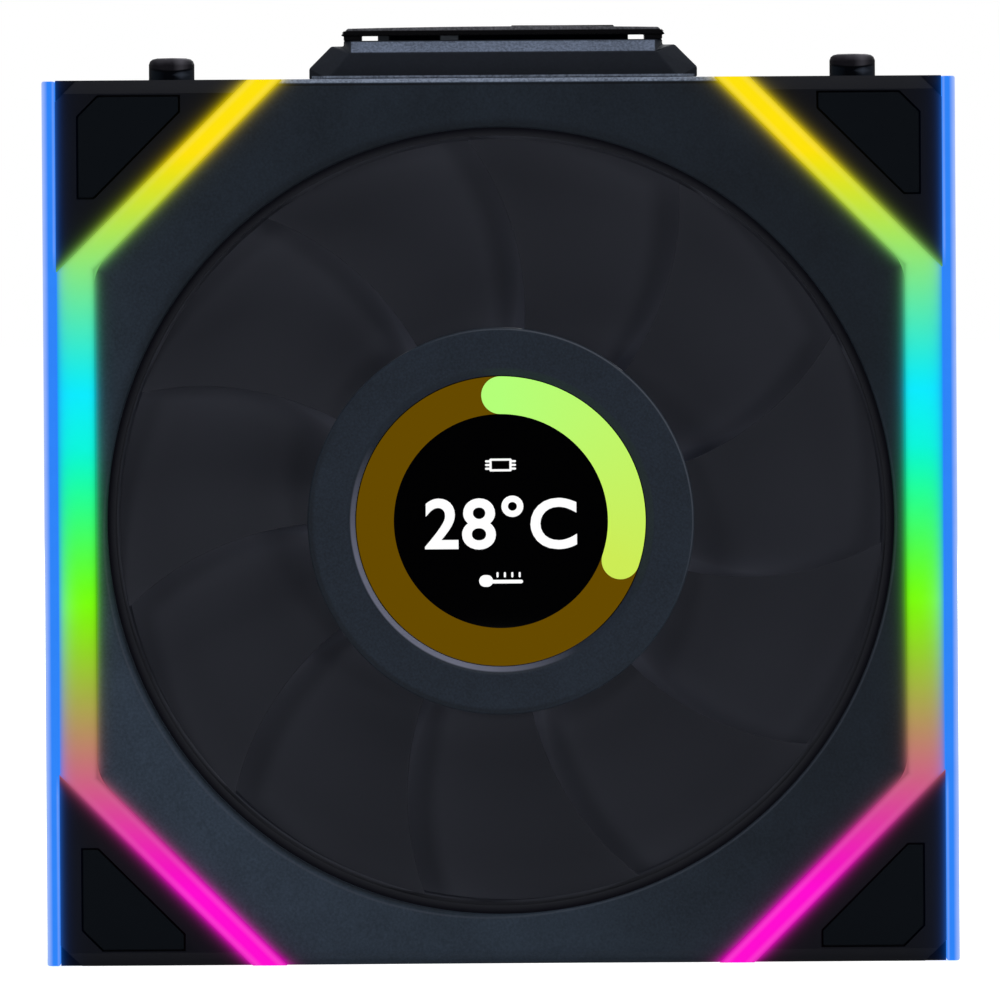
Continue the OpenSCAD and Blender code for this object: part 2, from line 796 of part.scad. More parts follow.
// Places of the spring contacts along the block
function pin_x(i) = link_x + (i - (pin_count + 1) / 2) * pin_pitch;

module contact_block() {
    color("#0e0f12") difference() {
        block([link_x - block_w / 2, contact_y - block_d / 2, contact_board_z + contact_board_t],
              [link_x + block_w / 2, contact_y + block_d / 2, block_top_z]);
        for (i = [1:pin_count]) translate([pin_x(i), contact_y, half_h - cut])
            cylinder(r = barrel_r + seat_gap, h = link_h + 2 * cut);
    }
}

module contact_barrels() {
    color("#c9a227") for (i = [1:pin_count]) translate([pin_x(i), contact_y, 0]) difference() {
        translate([0, 0, barrel_base_z]) cylinder(r = barrel_r, h = barrel_top_z - barrel_base_z);
        translate([0, 0, barrel_base_z + barrel_floor])
            cylinder(r = pin_r + pin_clear, h = pin_shoulder_z + slack / 2 - barrel_base_z - barrel_floor);
        translate([0, 0, barrel_base_z + barrel_floor]) cylinder(r = barrel_lip_r, h = link_h);
    }
}

module contact_pin(i) {
    color("#e0b63c") translate([pin_x(i), contact_y, 0]) union() {
        translate([0, 0, pin_foot_z]) cylinder(r = pin_r, h = pin_shoulder_z - pin_foot_z);
        translate([0, 0, pin_foot_z]) cylinder(r = pin_tip_r, h = pin_top_z - pin_tip_r - pin_foot_z);
        translate([0, 0, pin_top_z - pin_tip_r]) sphere(r = pin_tip_r);
    }
}

// ---------------------------------------------------------------- pegs and socket contacts

module locating_peg(x) {
    color("#17191d") translate([x, peg_y, 0]) union() {
        translate([0, 0, half_h - peg_plug_h]) cylinder(r = peg_plug_r, h = peg_plug_h + cut);
        translate([0, 0, half_h]) rotate_extrude() polygon([
            [0, 0], [peg_r, 0], [peg_r, peg_h - peg_edge],
            [peg_r - 0.2 * peg_edge, peg_h - 0.5 * peg_edge],
            [peg_r - 0.6 * peg_edge, peg_h - 0.2 * peg_edge],
            [peg_r - 1.3 * peg_edge, peg_h - 0.05 * peg_edge], [0, peg_h]
        ]);
    }
}

module socket_board() {
    color("#1c4f38") block(
        [link_x - block_w / 2, contact_y - block_d / 2, pocket_top_z - socket_board_t],
        [link_x + block_w / 2, contact_y + block_d / 2, pocket_top_z]);
}

module socket_contacts() {
    z = pocket_top_z - socket_board_t;
    color("#d9b13b") for (i = [1:pin_count])
        block([pin_x(i) - socket_pad_half_w, contact_y - socket_pad_half_d, z - socket_pad_t],
            [pin_x(i) + socket_pad_half_w, contact_y + socket_pad_half_d, z]);
}

// ---------------------------------------------------------------- impeller

// Share from 0 at the hub to 1 at the tip
function span_share(r) = (r - hub_r) / (blade_tip_r - hub_r);
// Leading edge: behind the display at the root, and further forward beyond its rim
function lead_y(r) =
    let (rise = max(0, min(1, (r - bezel_r - 0.8) / 6)))
    hub_front_y + 0.3 + blade_edge_t / 2 - (blade_reach + 0.3) * sin(90 * rise);
// Trailing edge: draws forward towards the tip
function trail_y(r) = blade_back_y - blade_edge_t / 2 - blade_tip_draw * max(0, span_share(r));
function thickness(c) = blade_edge_t + (blade_t - blade_edge_t) * sin(180 * pow(c, 0.8));
function blade_angle(c, r) =
    blade_sweep * pow(max(0, span_share(r)), 1.5)
    - (360 / blade_count + blade_overlap) * (c - 0.5);
function blade_y(c, r) = lead_y(r) + (trail_y(r) - lead_y(r)) * (c + blade_camber * sin(180 * c));
function blade_point(c, r, face) =
    let (a = blade_angle(c, r), y = blade_y(c, r) + face * thickness(c) / 2)
    [r * cos(a), y, r * sin(a)];
// Points of one section: the front face from edge to edge, then the rear face back again
function section(r) = concat(
    [for (j = [0:chord_steps]) blade_point(j / chord_steps, r, -1)],
    [for (j = [chord_steps:-1:0]) blade_point(j / chord_steps, r, 1)]
);

module blade() {
    loop = 2 * (chord_steps + 1);
    root_r = hub_r - blade_root_in;
    points = [for (i = [0:stations]) each section(root_r + (blade_tip_r - root_r) * i / stations)];
    skin = [for (i = [0:stations - 1], j = [0:loop - 1])
        let (a = i * loop + j, b = i * loop + (j + 1) % loop)
        each [[b + loop, b, a], [a + loop, b + loop, a]]];
    root = [for (j = [0:chord_steps - 1])
        each [[loop - 2 - j, loop - 1 - j, j], [j + 1, loop - 2 - j, j]]];
    shift = stations * loop;
    tip = [for (f = root) [shift + f[2], shift + f[1], shift + f[0]]];
    polyhedron(points, concat(skin, root, tip));
}

module impeller() {
    color("#232428") union() {
        difference() {
            turned([[0, hub_front_y], [hub_r - 0.8, hub_front_y], [hub_r, hub_front_y + 0.8],
                    [hub_r, hub_back_y], [0, hub_back_y]]);
            disc(hub_inner_r, yoke_front_y, 0);
            ring(hub_core_r, hub_boss_r, hub_plate_y, yoke_front_y + cut);
            disc(sleeve_r + seat_gap, hub_front_y - cut, 0);
        }
        for (i = [0:blade_count - 1]) rotate([0, -360 / blade_count * i, 0]) blade();
    }
}

// ---------------------------------------------------------------- rotor parts

module rotor_yoke() {
    color("#8d9196") difference() {
        disc(yoke_r, yoke_front_y, yoke_back_y);
        disc(yoke_r - yoke_t, yoke_front_y + yoke_t, 0);
        disc(sleeve_r + seat_gap, front_y, 0);
    }
}

module magnet_ring() {
    color("#2e2f33") ring(magnet_r, magnet_r - magnet_t, yoke_front_y + yoke_t + 0.3, yoke_back_y - 0.2);
}

module bearing_sleeve() {
    color("#b08d4a") ring(sleeve_r, axle_r + running_gap, sleeve_front_y, sleeve_back_y);
}

// ---------------------------------------------------------------- axle and its fittings

module axle_tube() {
    color("#c4c7cb") difference() {
        union() {
            disc(axle_r, carrier_back_y, axle_back_y);
            disc(axle_end_r, nut_y, axle_back_y);
            disc(flange_r, flange_y, base_boss_y);
        }
        disc(axle_bore_r, front_y, 0);
        ring(axle_r + cut, clip_seat_r, clip_y - 0.02, clip_y + clip_t + 0.02);
    }
}

module axle_nut() {
    color("#c4c7cb") difference() {
        translate([0, carrier_floor_y, 0]) rotate([90, 0, 0])
            cylinder(r = axle_end_r + nut_wall, h = carrier_floor_y - nut_y, $fn = 6);
        disc(axle_end_r + seat_gap, front_y, 0);
    }
}

module thrust_washers() {
    color("#e8e4d8") {
        ring(flange_r, axle_r + running_gap, rear_washer_y, rear_washer_y + washer_t);
        ring(flange_r, axle_r + running_gap, front_washer_y, front_washer_y + washer_t);
    }
}

// Open ring that snaps into the axle's groove
module retaining_clip() {
    color("#6d7075") difference() {
        ring(clip_r, clip_seat_r + seat_gap, clip_y, clip_y + clip_t);
        block([-1.4, front_y, 0], [1.4, 0, clip_r + cut]);
    }
}

// ---------------------------------------------------------------- stator and motor board

module stator_tube() {
    color("#b99a55") ring(tube_r, tube_bore_r, core_mid_y - core_t / 2, base_front_y);
}

module stator_core() {
    front = core_mid_y - core_t / 2;
    back = core_mid_y + core_t / 2;
    color("#9aa0a6") difference() {
        union() {
            disc(tooth_root_r, front, back);
            for (i = [0:pole_count - 1]) rotate([0, 360 / pole_count * i, 0]) {
                block([tooth_root_r - 0.5, front, -tooth_w / 2], [stator_r - 0.4, back, tooth_w / 2]);
                intersection() {
                    ring(stator_r, stator_r - shoe_t, front, back);
                    block([0, front, -shoe_w / 2], [stator_r + cut, back, shoe_w / 2]);
                }
            }
        }
        disc(tube_r + seat_gap, front - cut, back + cut);
    }
}

// A sleeve round one tooth, from its inner to its outer radius, with a given wall
module tooth_sleeve(inner_r, outer_r, gap, wall) {
    w = tooth_w / 2 + gap;
    t = core_t / 2 + gap;
    difference() {
        block([inner_r, core_mid_y - t - wall, -w - wall], [outer_r, core_mid_y + t + wall, w + wall]);
        block([inner_r - cut, core_mid_y - t, -w], [outer_r + cut, core_mid_y + t, w]);
    }
}

module stator_bobbins() {
    inner = tooth_root_r + 0.3;
    outer = stator_r - shoe_t - 0.15;
    color("#e9e6dc") for (i = [0:pole_count - 1]) rotate([0, 360 / pole_count * i, 0])
        tooth_sleeve(inner, outer, bobbin_gap, bobbin_wall);
}

module stator_coils() {
    inner = tooth_root_r + 0.6;
    outer = stator_r - shoe_t - 0.45;
    color("#b5622d") for (i = [0:pole_count - 1]) rotate([0, 360 / pole_count * i, 0])
        tooth_sleeve(inner, outer, bobbin_gap + bobbin_wall + 0.02, coil_t);
}

module motor_board() {
    color("#1c4f38") ring(motor_board_r, tube_r + 0.2, base_front_y - motor_board_t, base_front_y);
}

// Driver chip, position sensor and two capacitors on the motor board
module motor_board_parts() {
    back = base_front_y - motor_board_t;
    r = (tube_r + motor_board_r) / 2;
    color("#17181b") {
        block([-2.5, back - chip_t, r - 2], [2.5, back, r + 2]);
        rotate([0, 30, 0])
            block([-1.5, back - chip_t, motor_board_r - 3.4], [1.5, back, motor_board_r - 1.6]);
        for (turn = [90, 115]) rotate([0, turn, 0])
            block([-1, back - chip_t, r - 0.8], [1, back, r + 0.8]);
    }
}

module motor_cover() {
    color("#101216") disc(motor_cover_r, cover_seat_y, base_back_y);
}

// ---------------------------------------------------------------- cables

// Ribbon from the motor board along the lower strut to the socket board, grown by an amount
module power_ribbon_shape(grow) {
    w = ribbon_w / 2 + grow;
    low = pocket_top_z - ribbon_t;
    end_y = contact_y + block_d / 2 + slack;
    block([-w, base_front_y, ribbon_start_z - ribbon_t - grow],
          [w, ribbon_y + ribbon_t + grow, ribbon_start_z + grow]);
    block([-w, ribbon_y - grow, low - grow], [w, ribbon_y + ribbon_t + grow, ribbon_start_z]);
    block([-w, end_y, low - grow], [w, ribbon_y + ribbon_t, pocket_top_z + grow / 2]);
}

module ribbon_grooves() {
    w = ribbon_w / 2 + slack;
    power_ribbon_shape(slack);
    block([-w, base_front_y - cut, -duct_r + cut], [w, ribbon_y + ribbon_t, ribbon_start_z]);
}

module power_ribbon() {
    color("#2b2d31") power_ribbon_shape(0);
}

// Angle at which the bus ribbon meets the socket board
bus_end_angle = acos(bus_end_x / (bus_r + bus_t));

// Half ring of the bus ribbon round the left side of the duct, and its riser to the contact board
module bus_shape(r_in, r_out, front, back, riser_w, rise_to) {
    rotate([90, 0, 0]) translate([0, 0, -back])
        rotate([0, 0, 90]) rotate_extrude(angle = 90 + bus_end_angle)
            translate([r_in, 0]) square([r_out - r_in, back - front]);
    block([-riser_w, front, r_in + 0.02], [0, back, rise_to]);
}

module bus_groove() {
    back = bus_front_y + bus_w + slack;
    bus_shape(bus_r - 0.2, bus_r + bus_groove_t, split_y - cut, back, 0.8, half_h + cut);
}

module bus_ribbon() {
    color("#2b2d31")
        bus_shape(bus_r, bus_r + bus_t, bus_front_y, bus_front_y + bus_w, 0.3, contact_board_z);
}

// ---------------------------------------------------------------- display

module display_bezel() {
    color("#20262e") turned([
        [screen_r, front_y + lip_w], [screen_r + lip_w, front_y], [bezel_r - 0.3, front_y],
        [bezel_r, front_y + 0.3], [bezel_r, carrier_back_y], [bezel_r - bezel_wall, carrier_back_y],
        [bezel_r - bezel_wall, front_y + lip_w]
    ]);
}

module display_carrier() {
    color("#141619") difference() {
        union() {
            disc(carrier_r, carrier_floor_y, carrier_back_y);
            ring(carrier_r, carrier_r - carrier_wall, front_y + lip_w, carrier_back_y);
            for (turn = [30, 150, 270]) rotate([0, -turn, 0]) translate([display_screw_ring, 0, 0])
                disc(display_post_r, display_board_front_y + display_board_t, carrier_back_y);
        }
        disc(axle_end_r + 0.05, front_y, 0);
        for (turn = [30, 150, 270]) rotate([0, -turn, 0]) translate([display_screw_ring, 0, 0])
            disc(display_screw_r + seat_gap, front_y, carrier_back_y - 0.4);
    }
}

module display_board() {
    color("#1c4f38") difference() {
        disc(display_board_r, display_board_front_y, display_board_front_y + display_board_t);
        for (turn = [30, 150, 270]) rotate([0, -turn, 0]) translate([display_screw_ring, 0, 0])
            disc(display_screw_r + slack, front_y, 0);
    }
}

module display_panel() {
    color("#26282c") disc(panel_r, panel_front_y, panel_front_y + panel_t);
}

module display_lens() {
    color("#08090b") disc(lens_r, lens_front_y, lens_front_y + lens_t);
}

module display_screws() {
    head_t = 0.4;
    color("#aeb2b8") for (turn = [30, 150, 270]) rotate([0, -turn, 0])
        translate([display_screw_ring, 0, 0]) {
            disc(display_screw_head_r, display_board_front_y - head_t, display_board_front_y);
            disc(display_screw_r, display_board_front_y - head_t / 2, carrier_back_y - 0.6);
        }
}

// Flat cable from the display board through the axle, then down to the motor board
module display_flex() {
    w = flex_w / 2;
    start_y = display_board_front_y + display_board_t;
    color("#c98a3a") union() {
        block([-w, start_y, -flex_t / 2], [w, flex_groove_y + flex_t + 0.3, flex_t / 2]);
        block([-w, flex_groove_y + 0.3, -flex_drop - flex_t], [w, flex_groove_y + 0.3 + flex_t, flex_t / 2]);
        block([-w, base_front_y, -flex_drop - flex_t], [w, flex_groove_y + 0.3 + flex_t, -flex_drop]);
    }
}

// ---------------------------------------------------------------- nodes

front_frame();
rear_frame();
front_cover();
cover_screws();
front_light_guide(-1);  // front_light_guide_left
front_light_guide(1);  // front_light_guide_right
side_light_guide(-1);  // side_light_guide_left
side_light_guide(1);  // side_light_guide_right
front_led_board(-1);  // front_led_board_left
front_led_board(1);  // front_led_board_right
front_leds(-1);  // front_leds_left
front_leds(1);  // front_leds_right
side_led_board(-1);  // side_led_board_left
side_led_board(1);  // side_led_board_right
side_leds(-1);  // side_leds_left
side_leds(1);  // side_leds_right
front_pad(-1, 1);  // front_pad_top_left
front_pad(1, 1);  // front_pad_top_right
front_pad(-1, -1);  // front_pad_bottom_left
front_pad(1, -1);  // front_pad_bottom_right
rear_pads();
link_body();
link_plate();
contact_board();
contact_block();
contact_barrels();
contact_pin(1);  // contact_pin_1
contact_pin(2);  // contact_pin_2
contact_pin(3);  // contact_pin_3
contact_pin(4);  // contact_pin_4
contact_pin(5);  // contact_pin_5
locating_peg(peg_left_x);  // locating_peg_left
locating_peg(peg_right_x);  // locating_peg_right
socket_board();
socket_contacts();
impeller();
rotor_yoke();
magnet_ring();
bearing_sleeve();
axle_tube();
axle_nut();
thrust_washers();
retaining_clip();
stator_tube();
stator_core();
stator_bobbins();
stator_coils();
motor_board();
motor_board_parts();
motor_cover();
power_ribbon();
bus_ribbon();
display_bezel();
display_carrier();
display_board();
display_panel();
display_lens();
display_screws();
display_flex();
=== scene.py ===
"""Looks of a linkable case fan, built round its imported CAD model.

The front of the fan faces -Y, +Z is up and the rotor turns about the Y axis. Blender works in
metres; sizes in this script are millimetres, and MM turns them into metres.
"""

from __future__ import annotations

import json
import logging
import math
from dataclasses import dataclass
from enum import Enum
from typing import Any, Iterable, Protocol

import bmesh
import bpy
import numpy as np
from mathutils import Matrix, Vector


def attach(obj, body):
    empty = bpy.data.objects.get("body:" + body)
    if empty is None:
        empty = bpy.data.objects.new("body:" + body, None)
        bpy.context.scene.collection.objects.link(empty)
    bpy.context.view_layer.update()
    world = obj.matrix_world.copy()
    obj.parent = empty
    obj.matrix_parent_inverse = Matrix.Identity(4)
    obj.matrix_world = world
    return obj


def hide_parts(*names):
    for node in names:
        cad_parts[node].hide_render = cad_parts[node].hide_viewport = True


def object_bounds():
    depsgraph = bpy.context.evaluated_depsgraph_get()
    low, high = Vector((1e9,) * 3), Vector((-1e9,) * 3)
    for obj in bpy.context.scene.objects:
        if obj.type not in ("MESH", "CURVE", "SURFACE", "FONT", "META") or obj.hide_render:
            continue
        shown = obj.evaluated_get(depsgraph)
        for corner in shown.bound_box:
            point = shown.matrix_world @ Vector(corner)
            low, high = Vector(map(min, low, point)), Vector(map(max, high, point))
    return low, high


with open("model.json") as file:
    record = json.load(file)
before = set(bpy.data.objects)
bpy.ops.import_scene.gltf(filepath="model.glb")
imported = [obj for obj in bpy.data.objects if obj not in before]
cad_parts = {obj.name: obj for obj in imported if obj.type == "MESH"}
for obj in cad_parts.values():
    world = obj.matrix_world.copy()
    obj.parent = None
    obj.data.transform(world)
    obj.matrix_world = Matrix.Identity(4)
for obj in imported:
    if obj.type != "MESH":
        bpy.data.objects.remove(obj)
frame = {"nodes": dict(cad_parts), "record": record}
CAD_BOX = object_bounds()

LOG = logging.getLogger("case_fan")
MM = 0.001
DIAGONAL = math.sqrt(0.5)
Rgb = tuple[float, float, float]


# ------------------------------------------------------------------ colours


def srgb(red: int, green: int, blue: int) -> Rgb:
    """Turns screen values from 0 to 255 into linear ones.

    Args:
        red: red value.
        green: green value.
        blue: blue value.

    Returns:
        The linear colour: ((s + 0.055) / 1.055) ** 2.4 of a value s from 0 to 1, a straight line at
        the dark end.
    """

    def linear(value: int) -> float:
        """One channel."""
        s = value / 255
        return s / 12.92 if s <= 0.04045 else ((s + 0.055) / 1.055) ** 2.4

    return linear(red), linear(green), linear(blue)


class GuideHue(Enum):
    """The light colours of the front guides, from the bottom up: height in mm and screen colour."""

    MAGENTA = (-50.0, (255, 0, 207))
    LIME = (-11.0, (122, 254, 4))
    SPRING = (4.0, (34, 255, 152))
    AQUA = (10.0, (3, 246, 217))
    CYAN = (17.5, (4, 235, 254))
    YELLOW = (50.0, (255, 226, 5))


BLADE_TONE = srgb(41, 42, 47)
GROOVE_BLACK = (0.002, 0.0025, 0.004)
RAYS_THAT_SEE = ("Camera", "Glossy", "Transmission")
SCREEN_GAMMA = 2.2
CLOUD_PER_GRAIN = 22


# ------------------------------------------------------------------ shader expressions


class Value:
    """A number that varies over a surface; Python operators on it add Math nodes."""

    def __init__(self, nodes: Nodes, socket: bpy.types.NodeSocket) -> None:
        """Wraps an output socket of one of the nodes."""
        self.nodes = nodes
        self.socket = socket

    def maths(self, operation: str, *others: Value | float, first: Value | float | None = None) -> Value:
        """Adds one Math node.

        Args:
            operation: the node's operation.
            others: the operands after this one.
            first: an operand that stands before this one.

        Returns:
            The node's result.
        """
        operands = [self, *others] if first is None else [first, self]
        node = self.nodes.node("ShaderNodeMath", {"operation": operation}, dict(enumerate(operands)))
        return Value(self.nodes, node.outputs[0])

    def __add__(self, other: Value | float) -> Value:
        """Sum."""
        return self.maths("ADD", other)

    def __radd__(self, other: float) -> Value:
        """Sum with a number in front."""
        return self.maths("ADD", first=other)

    def __sub__(self, other: Value | float) -> Value:
        """Difference."""
        return self.maths("SUBTRACT", other)

    def __rsub__(self, other: float) -> Value:
        """Difference from a number."""
        return self.maths("SUBTRACT", first=other)

    def __mul__(self, other: Value | float) -> Value:
        """Product."""
        return self.maths("MULTIPLY", other)

    def __rmul__(self, other: float) -> Value:
        """Product with a number in front."""
        return self.maths("MULTIPLY", first=other)

    def __truediv__(self, other: Value | float) -> Value:
        """Quotient."""
        return self.maths("DIVIDE", other)

    def __rtruediv__(self, other: float) -> Value:
        """Quotient with a number on top."""
        return self.maths("DIVIDE", first=other)

    def __abs__(self) -> Value:
        """Absolute value."""
        return self.maths("ABSOLUTE")

    def at_least(self, other: Value | float) -> Value:
        """The larger of two values."""
        return self.maths("MAXIMUM", other)

    def at_most(self, other: Value | float) -> Value:
        """The smaller of two values."""
        return self.maths("MINIMUM", other)

    def share(self, start: float, end: float) -> Value:
        """Goes from 0 at start to 1 at end, and stays there."""
        return ((self - start) / (end - start)).at_least(0).at_most(1)

    def decay(self, length: float) -> Value:
        """exp(-value / length)."""
        return (self * (-1 / length)).maths("EXPONENT")

    def falloff(self, parts: tuple[tuple[float, float], ...]) -> Value:
        """Sum of share exp(-value / length) over parts (share, length)."""
        return sum(self.decay(length) * share for share, length in parts)

    def near(self, place: Value | float, full: float, none: float) -> Value:
        """1 up to a distance full from a place, falling to 0 at a distance none."""
        return 1 - abs(self - place).share(full, none)

    def sine(self) -> Value:
        """Sine of the value."""
        return self.maths("SINE")

    def hypot(self, other: Value) -> Value:
        """Root of the sum of both squares."""
        return (self * self + other * other).maths("SQRT")


class Nodes:
    """The nodes of a material or a world."""

    def __init__(self, tree: bpy.types.NodeTree) -> None:
        """Empties a node tree."""
        self.tree = tree
        self.tree.nodes.clear()

    def node(
        self, kind: str, settings: dict[str, Any] | None = None, inputs: dict[Any, Any] | None = None
    ) -> bpy.types.Node:
        """Adds any node.

        Args:
            kind: the node's type.
            settings: its settings, set first; "stops" are a ramp's (position, colour) pairs.
            inputs: values or links of its sockets, by name or number.

        Returns:
            The node.
        """
        node = self.tree.nodes.new(kind)
        for key, value in (settings or {}).items():
            if key == "stops":
                ramp = node.color_ramp
                while len(ramp.elements) > 1:
                    ramp.elements.remove(ramp.elements[-1])
                for index, (position, colour) in enumerate(value):
                    stop = ramp.elements[0] if index == 0 else ramp.elements.new(position)
                    stop.position = position
                    stop.color = (*colour, 1.0)
            else:
                setattr(node, key, value)
        for key, value in (inputs or {}).items():
            self.feed(node.inputs[key], value)
        return node

    def feed(self, socket: bpy.types.NodeSocket, value: Any) -> None:
        """Links a value or socket to an input, or sets the input's own value.

        Args:
            socket: the input.
            value: what it gets.
        """
        if isinstance(value, Value):
            self.tree.links.new(value.socket, socket)
        elif isinstance(value, bpy.types.NodeSocket):
            self.tree.links.new(value, socket)
        elif isinstance(value, tuple) and len(value) == 3 and socket.type == "RGBA":
            socket.default_value = (*value, 1.0)
        else:
            socket.default_value = value

    def seen(self) -> Value:
        """Finds the rays of the camera and those that metal and glass send on.

        Returns:
            1 for these rays and 0 for all others.
        """
        path = self.node("ShaderNodeLightPath")
        camera, glossy, sent = (Value(self, path.outputs[f"Is {ray} Ray"]) for ray in RAYS_THAT_SEE)
        return camera.at_least(glossy.at_least(sent))


class Shader(Nodes):
    """One material, its nodes and its output."""

    def __init__(self, name: str) -> None:
        """Starts a material.

        Args:
            name: its name.
        """
        self.material = bpy.data.materials.new(name)
        self.material.use_nodes = True
        super().__init__(self.material.node_tree)
        self.output = self.node("ShaderNodeOutputMaterial")

    def place(self) -> bpy.types.NodeSocket:
        """The point's place in the part's frame, in metres."""
        return self.node("ShaderNodeTexCoord").outputs["Object"]

    def axes(self) -> tuple[Value, Value, Value]:
        """The point's x, y and z in millimetres."""
        split = self.node("ShaderNodeSeparateXYZ", inputs={0: self.place()})
        return tuple(Value(self, split.outputs[i]) * (1 / MM) for i in range(3))

    def noise(self, size_mm: float, detail: float = 2.0, stretch: Rgb = (1.0, 1.0, 1.0)) -> Value:
        """Soft noise.

        Args:
            size_mm: size of its patches.
            detail: how many finer layers it has.
            stretch: how much finer it is along each axis.

        Returns:
            The noise, about 0.5 on average.
        """
        mapping = self.node("ShaderNodeMapping", inputs={"Vector": self.place(), "Scale": stretch})
        inputs = {"Vector": mapping.outputs[0], "Scale": 1 / (size_mm * MM), "Detail": detail}
        return Value(self, self.node("ShaderNodeTexNoise", inputs=inputs).outputs[0])

    def blend(self, share: Value | float, first: Any, second: Any) -> bpy.types.NodeSocket:
        """Mixes two colours by a share."""
        mix = self.node("ShaderNodeMix", {"data_type": "RGBA"}, {0: share, 6: first, 7: second})
        return mix.outputs[2]

    def mottled(self, colour: Rgb, amount: Value, spread: float) -> bpy.types.NodeSocket:
        """Runs a colour from darker to lighter.

        Args:
            colour: the colour in the middle.
            amount: 0 where it is darkest and 1 where it is lightest.
            spread: how far it changes to both sides, as a share of the colour.

        Returns:
            The mottled colour.
        """
        dark = tuple(c * (1 - spread) for c in colour)
        light = tuple(min(1.0, c * (1 + spread)) for c in colour)
        return self.blend(amount, dark, light)

    def bump(self, height: Value, depth_mm: float) -> bpy.types.NodeSocket:
        """A normal that is bent by a height from 0 to 1, of which 1 is depth_mm deep."""
        inputs = {"Strength": 1.0, "Distance": depth_mm * MM, "Height": height}
        return self.node("ShaderNodeBump", inputs=inputs).outputs[0]

    def principled(self, **inputs: Any) -> bpy.types.Node:
        """Adds the main shader and joins it to the output.

        Args:
            inputs: its sockets, with _ for each space in a name.

        Returns:
            The shader node.
        """
        named = {key.replace("_", " "): value for key, value in inputs.items()}
        node = self.node("ShaderNodeBsdfPrincipled", inputs=named)
        self.feed(self.output.inputs[0], node.outputs[0])
        return node

    def rainbow(self, z: Value) -> bpy.types.NodeSocket:
        """The guides' colour; the ramp holds screen colours, which a gamma makes linear.

        Args:
            z: the height in mm.

        Returns:
            The colour.
        """
        reach = GUIDES.end
        stops = [
            ((hue.value[0] + reach) / (2 * reach), tuple(c / 255 for c in hue.value[1])) for hue in GuideHue
        ]
        ramp = self.node("ShaderNodeValToRGB", {"stops": stops}, {0: z.share(-reach, reach)})
        inputs = {"Color": ramp.outputs[0], "Gamma": SCREEN_GAMMA}
        return self.node("ShaderNodeGamma", inputs=inputs).outputs[0]


# ------------------------------------------------------------------ where the guides run


@dataclass(frozen=True)
class GuideRun:
    """Course of a front guide, in mm, on the right side; the left one is its mirror image."""

    outer_x: float = 59.9
    inner_x: float = 54.9
    outer_sum: float = 94.0
    inner_sum: float = 89.33
    bend_r: float = 6.0
    end: float = 60.0

    def outer(self, z: np.ndarray) -> np.ndarray:
        """Outer edge: x = min(outer_x, outer_sum - |z|)."""
        return np.minimum(self.outer_x, self.outer_sum - np.abs(z))

    def inner(self, z: np.ndarray) -> np.ndarray:
        """Inner edge: x = min(inner_x, inner_sum - |z|), with an arc of bend_r in the corner.

        Args:
            z: heights in mm.

        Returns:
            The edge's x at each height.
        """
        height = np.abs(z)
        start = self.inner_sum - self.inner_x - self.bend_r * math.tan(math.pi / 8)
        rise = np.clip(height - start, 0, self.bend_r * math.sin(math.pi / 4))
        arc = self.inner_x - self.bend_r + np.sqrt(self.bend_r**2 - rise**2)
        past = height - start > self.bend_r * math.sin(math.pi / 4)
        return np.where(past, self.inner_sum - height, arc)


GUIDES = GuideRun()


# ------------------------------------------------------------------ finishes


class Finish(Protocol):
    """Anything that makes a material."""

    name: str

    def build(self) -> bpy.types.Material:
        """Makes the material."""


class Plastic(Shader):
    """A material of moulded plastic, with its fine and its coarse noise."""

    def __init__(self, name: str, grain_mm: float) -> None:
        """Starts the material.

        Args:
            name: its name.
            grain_mm: size of the fine noise; the coarse one is CLOUD_PER_GRAIN times as large.
        """
        super().__init__(name)
        self.grain = self.noise(grain_mm, 3.0)
        self.cloud = self.noise(grain_mm * CLOUD_PER_GRAIN, 3.0)


class Layer(Protocol):
    """Anything that changes the colour of moulded plastic at some places."""

    def paint(self, plastic: Plastic, colour: bpy.types.NodeSocket) -> bpy.types.NodeSocket:
        """Lays itself over a colour."""


@dataclass(frozen=True)
class EdgeHighlight:
    """A painted highlight along an edge between two heights in mm, in front of a plane, and a scored line
    under it.

    It reaches half_w to both sides of centre_x.
    """

    low: float
    high: float
    back_y: float
    colour: Rgb
    line: float | None = None
    centre_x: float = 0.0
    half_w: float = 70.0
    soft: float = 0.15
    line_y: float = -27.0

    def paint(self, plastic: Plastic, colour: bpy.types.NodeSocket) -> bpy.types.NodeSocket:
        """Puts the painted highlight on a colour, broken up where the noise is low.

        Args:
            plastic: the material.
            colour: the colour beside it.

        Returns:
            The colour with the edge.
        """
        x, y, z = plastic.axes()
        inside = z.share(self.low, self.low + self.soft) * z.share(self.high + 0.1, self.high)
        inside = inside * abs(x - self.centre_x).share(self.half_w, self.half_w - self.soft)
        speckle = (plastic.grain - 0.5) * 1.6 + (plastic.cloud - 0.5) * 0.8 + 0.72
        amount = inside * y.share(self.back_y, self.back_y - 0.3) * speckle.at_least(0).at_most(1)
        colour = plastic.blend(amount, colour, self.colour)
        if self.line is None:
            return colour
        scored = z.near(self.line, 0.05, 0.16) * y.share(self.line_y, self.line_y - 0.3)
        return plastic.blend(scored * 0.8, colour, GROOVE_BLACK)


